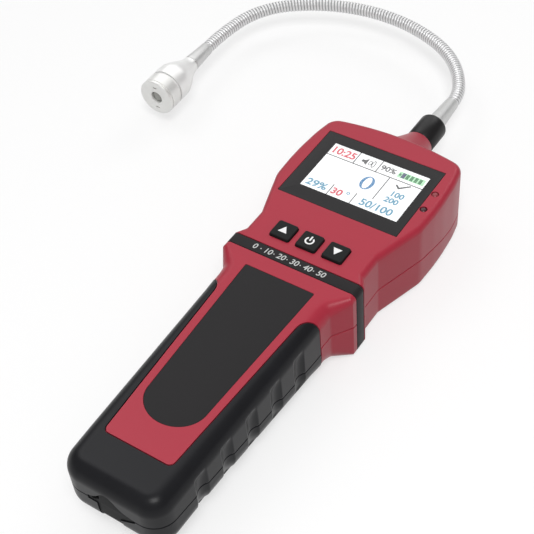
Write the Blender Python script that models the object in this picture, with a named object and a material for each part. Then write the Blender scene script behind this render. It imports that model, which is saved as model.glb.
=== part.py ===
"""Handheld gas leak detector with a bending gooseneck probe.

Units are metres and +Z is up. The detector lies on its back: +X is its right
side, +Y runs along it towards the probe end, and the origin is on the flat
back of the head, on the centre line.
"""

from math import atan2, cos, pi, radians, sin, sqrt, tan

import bmesh
import bpy
from mathutils import Matrix, Vector

# Casing, as seen from the front
FRONT_Z = 0.038              # flat front face of head and handle
PART_Z = 0.018               # parting plane, also the plane of the neck
HEAD_TOP_Y = 0.0415          # middle of the crowned end of the head
CROWN_RADIUS = 0.146         # crown of the head's far end
HEAD_HALF_WIDTH = 0.0388
HEAD_CORNER_X = HEAD_HALF_WIDTH - 0.0032
HEAD_CORNER_FILLET = 0.005
HEAD_WIDEST_Y = (-0.002, -0.008)
CHEEK_X = HEAD_HALF_WIDTH - 0.0033   # upper facet of the tapering cheeks
CHEEK_Y = -0.018
WAIST_X = 0.0305             # narrow waist above the collar
WAIST_Y = (-0.0335, -0.0455)
COLLAR_X = 0.0335
COLLAR_Y = (-0.0502, -0.0600)
HANDLE_TOP_X = 0.0276
HANDLE_TOP_Y = -0.0690
HANDLE_END_X = 0.0246
HANDLE_END_Y = -0.1868
HANDLE_END_FILLET = 0.010
BACK_START_Y = -0.058        # the back leaves the table here
BACK_END_RISE = 0.0078       # height of the back at the handle's end

# Walls, gaps and edges
CLEAR = 0.0003               # gap between neighbouring pieces
OVERLAP = 0.001              # reach of one shape into another that it joins or cuts
WALL = 0.0024
GRIP_WALL = 0.0020
GRIP_END_WALL = 0.0040
FLOOR_EDGE = 0.001           # bevel round the floor of the hollow
HEAD_FRONT_EDGE = 0.0030
HEAD_BACK_EDGE = 0.0030
HANDLE_FRONT_EDGE = 0.0075
HANDLE_BACK_EDGE = 0.0122
INNER_EDGE = 0.0020           # how much the rounding under the grips is tighter
EDGE_STEPS = 3

# Grip halves and the red handle panel
GRIP_TOP_Y = -0.0765
FLARE_LENGTH = 0.004         # the edges reach the handle's rounding this far down it
GRIP_SHOULDER = 0.0085       # rounded upper end of each grip
PANEL_TOP_X = 0.0210
PANEL_END_X = 0.0164
PANEL_END_Y = HANDLE_END_Y + 0.0208
PANEL_FILLET = 0.0025
FLUTE_COUNT = 5
FLUTE_FIRST_Y = GRIP_TOP_Y - 0.0165
FLUTE_LAST_Y = HANDLE_END_Y + 0.0262
FLUTE_PITCH = (FLUTE_FIRST_Y - FLUTE_LAST_Y) / (FLUTE_COUNT - 1)
FLUTE_HALF_LENGTH = 0.0038
FLUTE_DEPTH = 0.0014
FLUTE_TOP_SHARE = 0.5        # share of the depth left where the front edge starts to round
FLUTE_STEPS = 6
ARCH_STEPS = 12

# Label, collar band and display
LABEL_TOP_X = 0.0175
LABEL_TOP_Y = COLLAR_Y[1] - 0.0050
LABEL_END_X = 0.0143
LABEL_END_Y = PANEL_END_Y + 0.0265
LABEL_ARCH = 0.0125
LABEL_THICK = 0.0005
BAND_WIDTH = 0.0060
BAND_MID_Y = -0.0540
BAND_DEPTH = 0.0015
WINDOW_X = HEAD_HALF_WIDTH - 0.0078
WINDOW_Y = (-0.0185, 0.0280)
WINDOW_THICK = 0.0012
LCD_HALF = (HEAD_HALF_WIDTH - 0.0103, 0.0205)
SCREEN_HALF = (LCD_HALF[0] - 0.0032, LCD_HALF[1] - 0.0045)
SCREEN_Y = 0.0068
SCREEN_MARGIN = 0.0010
LCD_THICK = 0.0040
GLASS_RISE = 0.0010
PAD_SET_BACK = 0.0010        # foam pad inside the module's edge
PAD_WIDTH = 0.0030

# Keys and their switches
KEY_NAMES = ("up", "power", "down")
KEY_PITCH = 0.0135
KEY_Y = -0.0404
KEY_HALF = (0.0050, 0.0048)
KEY_FILLET = 0.0011
KEY_EDGE = 0.0004            # bevel round the top of a key
KEY_RISE = 0.0015
KEY_TRAVEL = 0.0010
KEY_LIP = 0.0011
KEY_LIP_THICK = 0.0009
KEY_STEM_RADIUS = 0.0014
KEY_STEM_LENGTH = 0.0019
SWITCH_HALF = 0.0031

# Circuit board, lamps and sounder
BOARD_TOP_Z = 0.0300
BOARD_THICK = 0.0016
BOARD_WIDEST_X = HEAD_HALF_WIDTH - 0.0039
BOARD_CHEEK_X = WAIST_X - 0.0022
BOARD_TAIL_X = WAIST_X - 0.0100
BOARD_OUTLINE = ((HEAD_CORNER_X - 0.0026, 0.0280), (BOARD_WIDEST_X, 0.0020), (BOARD_WIDEST_X, -0.0060),
                 (BOARD_CHEEK_X, -0.0290), (BOARD_TAIL_X, -0.0350), (BOARD_TAIL_X, -0.0470))
CHEEK_SCREW_SET_BACK = 0.0068        # from midway between the cheek and the waist
CHEEK_SCREW_X = (CHEEK_X + WAIST_X) / 2 - CHEEK_SCREW_SET_BACK
BOARD_SCREW_SPOTS = ((LCD_HALF[0] + 0.0025, 0.0235), (CHEEK_SCREW_X, -0.0262))
BOARD_POST_RADIUS = 0.0020
LAMP_X = LCD_HALF[0] + 0.0047
LAMP_Y = {"alarm_lamp": 0.0135, "status_lamp": 0.0025}
LAMP_RADIUS = 0.0015
LAMP_FOOT = 0.0002
LAMP_FOOT_HEIGHT = 0.0020
LAMP_SINK = 0.0008           # foot of the dome below the front
LAMP_DOME = 0.00105
BUZZER_SPOT = (-0.0150, 0.0160)
BUZZER_RADIUS = 0.0060
BUZZER_HEIGHT = 0.0080
BUZZER_HOLE_RADIUS = 0.0011
BUZZER_HOLE_DEPTH = 0.0015

# Case screws, given as (x, y, height of the head's seat)
HEAD_SCREW_X = HEAD_CORNER_X - 0.0064
WAIST_SCREW_X = WAIST_X - 0.0062
CASE_SCREWS = ((HEAD_SCREW_X, 0.0320, 0.0050), (-HEAD_SCREW_X, 0.0320, 0.0050),
               (WAIST_SCREW_X, -0.0425, 0.0050), (-WAIST_SCREW_X, -0.0425, 0.0050),
               (0.0, GRIP_TOP_Y - 0.0035, 0.0075), (0.0, HANDLE_END_Y + 0.0248, 0.0112))
CASE_SCREW_TIP_Z = 0.0270
SCREW_RADIUS = 0.0013
SCREW_HEAD_RADIUS = 0.0026
SCREW_HEAD_HEIGHT = 0.0021
BOARD_SCREW_RADIUS = 0.0009
BOARD_SCREW_HEAD_RADIUS = 0.0018
BOARD_SCREW_HEAD_HEIGHT = 0.0013
BOARD_SCREW_TIP_Z = 0.0335
POST_RADIUS = 0.0030
SEAT_POST_RADIUS = 0.0042

# Battery and charging port
CELL_RADIUS = 0.0092
CELL_EDGE = 0.0006
CELL_Y = (GRIP_TOP_Y - 0.0125, HANDLE_END_Y + 0.0308)
CELL_Z = 0.0200
SADDLE_THICK = 0.0030
SADDLE_CHEEK = 0.0040        # width of a saddle on each side of the cell
SADDLE_SET_BACK = 0.0120     # middle of a saddle from the cell's end
PORT_Z = 0.0150
PORT_HALF = (0.0052, 0.00235)
SOCKET_HALF = (0.0045, 0.0016)
SOCKET_SET_BACK = 0.0083     # mouth of the socket behind the handle's end
SOCKET_LENGTH = 0.0070
SOCKET_WALL = 0.0004
CHARGE_BOARD_HALF_WIDTH = 0.0085
CHARGE_BOARD_LENGTH = 0.0102
CHARGE_BOARD_THICK = 0.0010
FLAP_HALF_WIDTH = 0.0102
FLAP_BASE_Z = 0.0118
FLAP_THICK = 0.0024
FLAP_NOTCH_RADIUS = 0.0016

# Neck fittings, all on the neck's axis
BOSS_BASE_RADIUS = 0.0176
BOSS_END_RADIUS = 0.0074
BOSS_END_Y = 0.0598
BOSS_FLARE = 1.12            # exponent of the bell's curve
BOSS_RINGS = 6
BOSS_SIDES = 12              # sides of half the bell
BUSH_RADIUS = 0.0055
BUSH_BORE = 0.0025
BUSH_END_Y = 0.0700
BUSH_FLANGE_RADIUS = 0.0080
BUSH_FLANGE_THICK = 0.0018
NUT_RADIUS = 0.00720
NUT_LENGTH = 0.0164
NUT_EDGE = 0.0018
FERRULE_FLANGE = 0.0018
FERRULE_RADIUS = 0.0047
FERRULE_TIP_RADIUS = 0.0034
FERRULE_COLLAR = 0.0012      # straight stretch at a ferrule's wide end
SPIGOT_LENGTH = 0.0030       # plug of a ferrule in the neck's bore
NECK_START_Y = 0.0960

# Gooseneck: (length, turn in degrees) of each stretch of its centre line
NECK_BENDS = ((0.013, 25.0), (0.040, 39.5), (0.093, 61.0), (0.034, 44.5), (0.027, 11.0))
NECK_RADIUS = 0.00330
NECK_VALLEY_RADIUS = 0.00280
NECK_BORE = 0.00160
RIB_PITCH = 0.00177
NECK_PIECES = 13
NECK_SIDES = 10
NECK_SWING_LIMIT = 20.0      # degrees, the widest turn of one joint

# Upper ferrule and probe, measured along the end of the neck
TIP_FERRULE_LENGTH = 0.0158
TIP_FERRULE_RADII = (0.0034, 0.0044)
PROBE_LENGTH = 0.0322
PROBE_FLARE_SHARE = 0.52     # share of the probe's length that flares
PROBE_WALL = 0.0016
PROBE_EDGE = 0.0003
PROBE_GROOVE_HALF = 0.0003
PROBE_RADIUS = 0.0101
PROBE_NECK_RADIUS = 0.0046
PROBE_CAP_LENGTH = 0.0083
PROBE_GROOVE = 0.0005
PROBE_FACE_GROOVE_AT = 0.0014
SEAL_THICK = 0.0008
INLET_RADIUS = 0.0033
INLET_DEPTH = 0.0022         # inlet's mouth in front of its mesh
SENSOR_RADIUS = 0.0046
SENSOR_LENGTH = 0.0090
SENSOR_EDGE = 0.0006
SENSOR_HOLE_RADIUS = 0.0014
SENSOR_HOLE_DEPTH = 0.0010
MESH_THICK = 0.0012
SLOT_OFFSET = 0.0062
SLOT_HALF = (0.0004, 0.0011)
SLOT_DEPTH = 0.0009

Z_AXIS = Vector((0, 0, 1))


def clear_scene():
    for old in list(bpy.data.objects):
        bpy.data.objects.remove(old)


def material(name, colour, roughness, metallic=0.0):
    """One Principled material."""
    made = bpy.data.materials.new(name)
    made.use_nodes = True
    shader = made.node_tree.nodes["Principled BSDF"]
    shader.inputs["Base Color"].default_value = (*colour, 1.0)
    shader.inputs["Roughness"].default_value = roughness
    shader.inputs["Metallic"].default_value = metallic
    return made


def add_mesh(name, points, faces, paint=None, origin=(0, 0, 0)):
    """Object from world points and faces, its faces turned outwards."""
    shift = Vector(origin)
    mesh = bpy.data.meshes.new(name)
    mesh.from_pydata([Vector(p) - shift for p in points], [], faces)
    work = bmesh.new()
    work.from_mesh(mesh)
    bmesh.ops.recalc_face_normals(work, faces=work.faces)
    work.to_mesh(mesh)
    work.free()
    made = bpy.data.objects.new(name, mesh)
    made.location = shift
    bpy.context.scene.collection.objects.link(made)
    if paint:
        mesh.materials.append(paint)
    return made


def merge_shapes(name, shapes):
    """One object from several (points, faces) shapes that don't touch."""
    points, faces = [], []
    for shape_points, shape_faces in shapes:
        start = len(points)
        points.extend(shape_points)
        faces.extend([tuple(start + i for i in face) for face in shape_faces])
    return add_mesh(name, points, faces)


def smooth(made, angle=35.0):
    made.data.shade_smooth()
    made.data.set_sharp_from_angle(angle=radians(angle))


def boolean(target, tool, operation):
    """Cut, join or intersect the target with a hidden tool object."""
    tool.hide_render = True
    tool.display_type = "WIRE"
    step = target.modifiers.new(operation.title(), "BOOLEAN")
    step.operation = operation
    step.object = tool
    return target


def cut(target, *shapes):
    tool = merge_shapes(target.name + "_cutter", shapes)
    return boolean(target, tool, "DIFFERENCE")


def weld(target, *shapes):
    tool = merge_shapes(target.name + "_addition", shapes)
    return boolean(target, tool, "UNION")


def blend(low, high, share):
    return low + (high - low) * share


def interpolate(stations, at):
    """Piecewise linear value from (position, value) stations, falling in position."""
    if at >= stations[0][0]:
        return stations[0][1]
    for (a, va), (b, vb) in zip(stations, stations[1:]):
        if at >= b:
            return blend(va, vb, (a - at) / (a - b))
    return stations[-1][1]


# Plain shapes, each returned as (points, faces)

def loft(rings):
    """Closed tube through rings of equal count, with flat ends."""
    count = len(rings[0])
    points = [Vector(p) for ring in rings for p in ring]
    faces = []
    for level in range(len(rings) - 1):
        for i in range(count):
            j = (i + 1) % count
            low, high = level * count, (level + 1) * count
            faces.append((low + i, low + j, high + j, high + i))
    last = (len(rings) - 1) * count
    faces.append(tuple(range(count - 1, -1, -1)))
    faces.append(tuple(range(last, last + count)))
    return points, faces


def prism(outline, low, high):
    """Plan outline raised from one height to another."""
    return loft([[(x, y, z) for x, y in outline] for z in (low, high)])


def box(x, y, z):
    """Box from three (low, high) pairs."""
    return prism([(x[0], y[0]), (x[1], y[0]), (x[1], y[1]), (x[0], y[1])], *z)


def disc(x, y, radius, low, high, sides=16):
    return prism([(x + radius * cos(2 * pi * k / sides), y + radius * sin(2 * pi * k / sides))
                  for k in range(sides)], low, high)


def along_y(shape_xz, low, high):
    """Outline in X and Z, run along Y."""
    return loft([[(x, y, z) for x, z in shape_xz] for y in (low, high)])


def turned(profile, frame, sides=24):
    """Ring of revolution from a closed (radius, distance) profile on the frame's Z axis.

    A profile that starts and ends on the axis makes a solid without a bore.
    """
    on_axis = profile[0][0] == 0
    inner = profile[1:-1] if on_axis else profile
    points, faces = [], []
    for k in range(sides):
        turn = 2 * pi * k / sides
        points.extend([frame @ Vector((r * cos(turn), r * sin(turn), d)) for r, d in inner])
    count = len(inner)
    spans = count - 1 if on_axis else count
    for k in range(sides):
        here, there = k * count, (k + 1) % sides * count
        for i in range(spans):
            j = (i + 1) % count
            faces.append((here + i, here + j, there + j, there + i))
    if on_axis:
        for end, i in ((profile[0], 0), (profile[-1], count - 1)):
            points.append(frame @ Vector((0, 0, end[1])))
            hub = len(points) - 1
            faces.extend([(hub, k * count + i, (k + 1) % sides * count + i)
                          for k in range(sides)])
    return points, faces


def rounded(corners, steps=4):
    """Closed plan outline from (x, y, fillet) corners."""
    outline = []
    for i, (x, y, fillet) in enumerate(corners):
        here = Vector((x, y))
        if fillet == 0:
            outline.append((x, y))
            continue
        back = (Vector(corners[i - 1][:2]) - here).normalized()
        ahead = (Vector(corners[(i + 1) % len(corners)][:2]) - here).normalized()
        half = back.angle(ahead) / 2
        centre = here + (back + ahead).normalized() * fillet / sin(half)
        first = here + back * fillet / tan(half) - centre
        last = here + ahead * fillet / tan(half) - centre
        sweep = first.angle_signed(last)
        start = atan2(first.y, first.x)
        for k in range(steps + 1):
            turn = start - sweep * k / steps
            outline.append((centre.x + fillet * cos(turn), centre.y + fillet * sin(turn)))
    return outline


def rectangle(half_x, half_y, fillet, x=0.0, y=0.0):
    return rounded([(x + sx * half_x, y + sy * half_y, fillet)
                    for sx, sy in ((1, -1), (1, 1), (-1, 1), (-1, -1))], steps=3)


def grown(outline, distance):
    """Closed outline moved outwards by a distance, or inwards if it is negative."""
    moved = []
    area = sum(a[0] * b[1] - b[0] * a[1]
               for a, b in zip(outline, outline[1:] + outline[:1]))
    side = 1 if area > 0 else -1
    for i, here in enumerate(outline):
        offset = corner_offset(outline[i - 1], here, outline[(i + 1) % len(outline)])
        moved.append((here[0] + side * offset[0] * distance,
                      here[1] + side * offset[1] * distance))
    return moved


def corner_offset(before, here, after):
    """How far a corner moves, to its right, when both its edges move one unit."""
    first = Vector((here[1] - before[1], before[0] - here[0])).normalized()
    second = Vector((after[1] - here[1], here[0] - after[0])).normalized()
    middle = (first + second).normalized()
    return middle / middle.dot(first)


# The casing's outline and skins

def half_outline(flutes=False):
    """Right half of the casing in plan, from the head's end to the handle's end."""
    crown = []
    for k in range(4):
        x = HEAD_CORNER_X * (0.12 + 0.24 * k)
        crown.append((x, HEAD_TOP_Y - x * x / (2 * CROWN_RADIUS), 0))
    corner_y = HEAD_TOP_Y - HEAD_CORNER_X ** 2 / (2 * CROWN_RADIUS)
    corners = crown + [
        (HEAD_CORNER_X, corner_y, HEAD_CORNER_FILLET),
        (HEAD_HALF_WIDTH, HEAD_WIDEST_Y[0], 0),
        (HEAD_HALF_WIDTH, HEAD_WIDEST_Y[1], 0),
        (CHEEK_X, CHEEK_Y, 0),
        (WAIST_X, WAIST_Y[0], 0),
        (WAIST_X, WAIST_Y[1], 0),
        (COLLAR_X, COLLAR_Y[0], 0),
        (COLLAR_X, COLLAR_Y[1], 0),
        (HANDLE_TOP_X, HANDLE_TOP_Y, 0)]
    corners += [(x, y, 0) for x, y in side_stations(flutes)]
    corners += [(HANDLE_END_X, HANDLE_END_Y, HANDLE_END_FILLET), (0.0, HANDLE_END_Y, 0)]
    closed = rounded(corners + [(0.0, HEAD_TOP_Y, 0)])
    return closed[:-2]


def side_x(y):
    """Half width of the handle at a station along it."""
    return interpolate(((HANDLE_TOP_Y, HANDLE_TOP_X), (HANDLE_END_Y, HANDLE_END_X)), y)


def side_stations(flutes):
    """Points down the handle's side: where its edges reach full size, and along each flute."""
    stations = [HANDLE_TOP_Y - FLARE_LENGTH, HANDLE_END_Y + 2 * HANDLE_END_FILLET]
    for flute in range(FLUTE_COUNT if flutes else 0):
        middle = FLUTE_FIRST_Y - flute * FLUTE_PITCH
        stations += [middle + FLUTE_HALF_LENGTH * (1 - 2 * k / FLUTE_STEPS)
                     for k in range(FLUTE_STEPS + 1)]
    return [(side_x(y), y) for y in sorted(stations, reverse=True)]


def flute_depth(y):
    """Depth of the finger flutes at one station, an arc across each."""
    for flute in range(FLUTE_COUNT):
        away = (y - FLUTE_FIRST_Y + flute * FLUTE_PITCH) / FLUTE_HALF_LENGTH
        if abs(away) < 1:
            return FLUTE_DEPTH * sqrt(1 - away * away)
    return 0.0


def back_z(y):
    """Height of the casing's back: flat under the head, rising along the handle."""
    return interpolate(((BACK_START_Y, 0.0), (HANDLE_END_Y, BACK_END_RISE)), y)


def edge_radius(y, inset, head, handle, room):
    """Edge rounding, from the head's to the handle's across the flare.

    It fits the height above the parting plane, and the corners of the handle's end.
    """
    full = interpolate(((COLLAR_Y[1], head), (HANDLE_TOP_Y - FLARE_LENGTH, handle)), y)
    corner = interpolate(((HANDLE_END_Y + 2 * HANDLE_END_FILLET, handle),
                          (HANDLE_END_Y + HANDLE_END_FILLET, HANDLE_END_FILLET - inset)), y)
    return min(full - min(inset, INNER_EDGE), room - CLEAR, corner - CLEAR)


def skin(levels, flutes=False):
    """Closed solid from levels, each a pair of functions of y: inset and height.

    Each level is the whole plan outline, moved in by its inset. The ends are
    ladders between the left and right sides, so they may slope along Y.
    """
    right = half_outline(flutes)
    count = len(right)
    left = [(-x, y) for x, y in right]
    loop = right + left[::-1]
    offsets = []
    for i, here in enumerate(loop):
        offsets.append(corner_offset(loop[i - 1], here, loop[(i + 1) % len(loop)]))
    points = []
    for inset, height in levels:
        for (x, y), offset in zip(loop, offsets):
            moved_y = y + offset.y * inset(y)
            points.append((x + offset.x * inset(y), moved_y, height(y)))
    faces = []
    size = 2 * count
    for level in range(len(levels) - 1):
        for i in range(size):
            j = (i + 1) % size
            low, high = level * size, (level + 1) * size
            faces.append((low + i, low + j, high + j, high + i))
    for start in (0, (len(levels) - 1) * size):
        for i in range(count - 1):
            far = size - 1 - i
            faces.append((start + i, start + i + 1, start + far - 1, start + far))
    return points, faces


def fluted(levels):
    """The same levels, moved in to the flutes' depth where they don't reach it yet."""
    return [(lambda y, inset=inset: max(inset(y), flute_depth(y)), height) for inset, height in levels]


def edge_levels(inset, rim, radius, face, sign):
    """Levels from the parting plane's rim over a rounded edge to a face."""
    levels = [(inset, lambda y: rim)]
    for k in range(EDGE_STEPS + 1):
        turn = radians(90) * k / EDGE_STEPS

        def step_inset(y, turn=turn):
            return inset(y) + radius(y) * (1 - cos(turn))

        def step_height(y, turn=turn):
            return face(y) - sign * radius(y) * (1 - sin(turn))

        levels.append((step_inset, step_height))
    return levels


def under_grip(y, extra=0.0):
    """Inset of the shells where the grips cover them, deeper at the handle's end."""
    end = interpolate(((HANDLE_END_Y + HANDLE_END_FILLET, GRIP_WALL),
                       (HANDLE_END_Y, GRIP_END_WALL)), y)
    return end + extra


def cavity_inset(y):
    """Inset of the hollow: thicker under the collar's groove and the grips."""
    stations = ((WAIST_Y[1] + WALL, WALL), (COLLAR_Y[0], WALL + BAND_DEPTH),
                (COLLAR_Y[1], WALL + BAND_DEPTH), (HANDLE_TOP_Y, WALL + GRIP_WALL),
                (HANDLE_END_Y + HANDLE_END_FILLET, WALL + GRIP_WALL),
                (HANDLE_END_Y, WALL + GRIP_END_WALL))
    return interpolate(stations, y)


def front_skin(inset, face, rim, flutes=False):
    """Front half of the casing, with its front face at a height."""
    def radius(y):
        return edge_radius(y, inset(y), HEAD_FRONT_EDGE, HANDLE_FRONT_EDGE, FRONT_Z - PART_Z)
    levels = edge_levels(inset, rim, radius, lambda y: face, 1)
    if flutes:
        full = PART_Z + (FRONT_Z - HANDLE_FRONT_EDGE - PART_Z) / 2
        levels[1] = (lambda y: FLUTE_TOP_SHARE * flute_depth(y), levels[1][1])
        levels = fluted([levels[0], (inset, lambda y: full)]) + levels[1:]
    return skin(levels, flutes)


def rear_skin(inset, lift, rim, flutes=False):
    """Rear half of the casing, its back raised by a lift."""
    def radius(y):
        return edge_radius(y, inset(y), HEAD_BACK_EDGE, HANDLE_BACK_EDGE,
                           PART_Z - back_z(y) - lift)
    levels = edge_levels(inset, rim, radius, lambda y: back_z(y) + lift, -1)
    return skin(fluted(levels) if flutes else levels, flutes)


def hollow(rim, floor):
    """Inside of one half of the casing, with a small rounding at its floor."""
    sign = 1 if floor(0) > rim else -1
    return skin([(cavity_inset, lambda y: rim - sign * OVERLAP),
                 (cavity_inset, lambda y: floor(y) - sign * FLOOR_EDGE),
                 (lambda y: cavity_inset(y) + FLOOR_EDGE, floor)])


def front_floor(y):
    return FRONT_Z - interpolate(((COLLAR_Y[1], WALL), (HANDLE_TOP_Y, WALL + GRIP_WALL)), y)


def rear_floor(y):
    return back_z(y) + interpolate(((COLLAR_Y[1], WALL), (HANDLE_TOP_Y, WALL + GRIP_WALL)), y)


def panel_outline():
    """Red area in plan: everything above the grips, and the handle panel."""
    wide = 2 * HEAD_HALF_WIDTH
    right = [(wide, HEAD_TOP_Y + wide, 0), (wide, GRIP_TOP_Y, 0),
             (PANEL_TOP_X, GRIP_TOP_Y, GRIP_SHOULDER), (PANEL_END_X, PANEL_END_Y, PANEL_FILLET)]
    left = [(-x, y, fillet) for x, y, fillet in right[::-1]]
    return rounded(right + left)


def label_outline():
    """Dark label: straight tapering sides and an arched lower end."""
    outline = [(-LABEL_TOP_X, LABEL_TOP_Y), (LABEL_TOP_X, LABEL_TOP_Y)]
    for k in range(ARCH_STEPS + 1):
        turn = pi * k / ARCH_STEPS
        outline.append((LABEL_END_X * cos(turn), LABEL_END_Y - LABEL_ARCH * sin(turn)))
    return outline


def collar_section(inset):
    """Section of the casing at the collar, in X and Z."""
    high, low = FRONT_Z - inset, back_z(BAND_MID_Y) + inset
    half = COLLAR_X - inset
    fillet = HEAD_FRONT_EDGE - inset * 0.5
    return rounded([(half, low, fillet), (half, high, fillet),
                    (-half, high, fillet), (-half, low, fillet)], steps=3)


def ring_along_y(outer, inner, low, high):
    """Hoop between two sections of equal count, run along Y."""
    count = len(outer)
    points = [(x, y, z) for y in (low, high) for section in (outer, inner) for x, z in section]
    faces = []
    for i in range(count):
        j = (i + 1) % count
        faces.append((i, j, 2 * count + j, 2 * count + i))
        faces.append((count + i, count + j, 3 * count + j, 3 * count + i))
        faces.append((i, j, count + j, count + i))
        faces.append((2 * count + i, 2 * count + j, 3 * count + j, 3 * count + i))
    return points, faces


def collar_groove():
    """Groove for the collar band, a gap wider than the band on each side."""
    low = BAND_MID_Y - BAND_WIDTH / 2 - CLEAR
    high = BAND_MID_Y + BAND_WIDTH / 2 + CLEAR
    outer = collar_section(-WALL)
    return ring_along_y(outer, collar_section(BAND_DEPTH), low, high)


def boss_radius(share):
    """Bell of the neck boss, wide at the head and slim at the nut."""
    return BOSS_END_RADIUS + (BOSS_BASE_RADIUS - BOSS_END_RADIUS) * (1 - share) ** BOSS_FLARE


def half_boss(side):
    """Half bell on one side of the parting plane."""
    start = HEAD_TOP_Y - WALL
    rings = []
    for k in range(BOSS_RINGS + 1):
        share = k / BOSS_RINGS
        radius = boss_radius(share)
        tilt = CLEAR / 2 / radius
        ring = []
        for step in range(BOSS_SIDES + 1):
            turn = tilt + (pi - 2 * tilt) * step / BOSS_SIDES
            ring.append((radius * cos(turn), blend(start, BOSS_END_Y, share),
                         PART_Z + side * radius * sin(turn)))
        rings.append(ring)
    return loft(rings)


def neck_bore():
    """Bore of the two half bosses, through the head's end wall."""
    frame = Matrix.Translation((0, HEAD_TOP_Y - 2 * WALL, PART_Z)) @ Matrix.Rotation(-pi / 2, 4, "X")
    reach = BOSS_END_Y + WALL - HEAD_TOP_Y + 2 * WALL
    return turned([(0, 0), (BUSH_RADIUS + CLEAR, 0), (BUSH_RADIUS + CLEAR, reach), (0, reach)],
                  frame, sides=20)


def mirrored_spots(spots):
    return [(side * x, y) for x, y in spots for side in (1, -1)]


def key_spots():
    return [((k - 1) * KEY_PITCH, KEY_Y) for k in range(len(KEY_NAMES))]


def flap_outline(gap=0.0):
    """Arched outline of the port flap, in X and Z."""
    half = FLAP_HALF_WIDTH + gap
    low = FLAP_BASE_Z - gap
    return [(-half, low), (half, low)] + [(half * cos(pi * k / ARCH_STEPS),
                                           PART_Z + half * sin(pi * k / ARCH_STEPS))
                                          for k in range(ARCH_STEPS + 1)]


def port_recess():
    """Opening through the grips that the flap closes, down to the shells."""
    return along_y(flap_outline(CLEAR), HANDLE_END_Y - WALL, HANDLE_END_Y + HANDLE_END_FILLET)


def port_hole():
    return box((-PORT_HALF[0], PORT_HALF[0]), (HANDLE_END_Y - WALL, HANDLE_END_Y + SOCKET_SET_BACK),
               (PORT_Z - PORT_HALF[1], PORT_Z + PORT_HALF[1]))


# Casing pieces

def build_front_shell(paint):
    """Red front: head, collar and handle panel, with its bosses and openings."""
    rim = PART_Z + CLEAR / 2
    points, faces = front_skin(lambda y: 0.0, FRONT_Z, rim)
    shell = add_mesh("front_shell", points, faces, paint)
    keep = merge_shapes("front_panel_area", [prism(panel_outline(), rim - WALL, FRONT_Z + WALL)])
    boolean(shell, keep, "INTERSECT")
    weld(shell, front_skin(under_grip, FRONT_Z - GRIP_WALL, rim))
    weld(shell, half_boss(1))
    cut(shell, hollow(rim, front_floor))
    posts = [disc(x, y, POST_RADIUS, rim, front_floor(y) + OVERLAP, 12) for x, y, _ in CASE_SCREWS]
    posts += [disc(x, y, BOARD_POST_RADIUS, BOARD_TOP_Z + CLEAR, FRONT_Z - WALL + OVERLAP, 10)
              for x, y in mirrored_spots(BOARD_SCREW_SPOTS)]
    weld(shell, *posts)
    pilots = [disc(x, y, SCREW_RADIUS + CLEAR, rim - OVERLAP, CASE_SCREW_TIP_Z + 2 * CLEAR, 10)
              for x, y, _ in CASE_SCREWS]
    pilots += [disc(x, y, BOARD_SCREW_RADIUS + CLEAR, BOARD_TOP_Z, BOARD_SCREW_TIP_Z + CLEAR, 8)
               for x, y in mirrored_spots(BOARD_SCREW_SPOTS)]
    cut(shell, *pilots)
    cut(shell, collar_groove())
    ledge = FRONT_Z - WINDOW_THICK - CLEAR
    window = [box((-WINDOW_X - CLEAR, WINDOW_X + CLEAR), (WINDOW_Y[0] - CLEAR, WINDOW_Y[1] + CLEAR),
                  (ledge, FRONT_Z + OVERLAP))]
    label = prism(grown(label_outline(), CLEAR), FRONT_Z - LABEL_THICK - CLEAR, FRONT_Z + OVERLAP)
    keys = [prism(rectangle(KEY_HALF[0] + CLEAR, KEY_HALF[1] + CLEAR, KEY_FILLET, x, y),
                  FRONT_Z - 2 * WALL, FRONT_Z + OVERLAP) for x, y in key_spots()]
    lamps = [disc(LAMP_X, y, LAMP_RADIUS + CLEAR, FRONT_Z - 2 * WALL, FRONT_Z + OVERLAP, 12)
             for y in LAMP_Y.values()]
    cut(shell, *window, label, *keys, *lamps)
    margin = SCREEN_MARGIN + CLEAR
    cut(shell, box((-SCREEN_HALF[0] - margin, SCREEN_HALF[0] + margin),
                   (SCREEN_Y - SCREEN_HALF[1] - margin, SCREEN_Y + SCREEN_HALF[1] + margin),
                   (FRONT_Z - 2 * WALL, ledge + OVERLAP)))
    cut(shell, neck_bore())
    return shell


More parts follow.
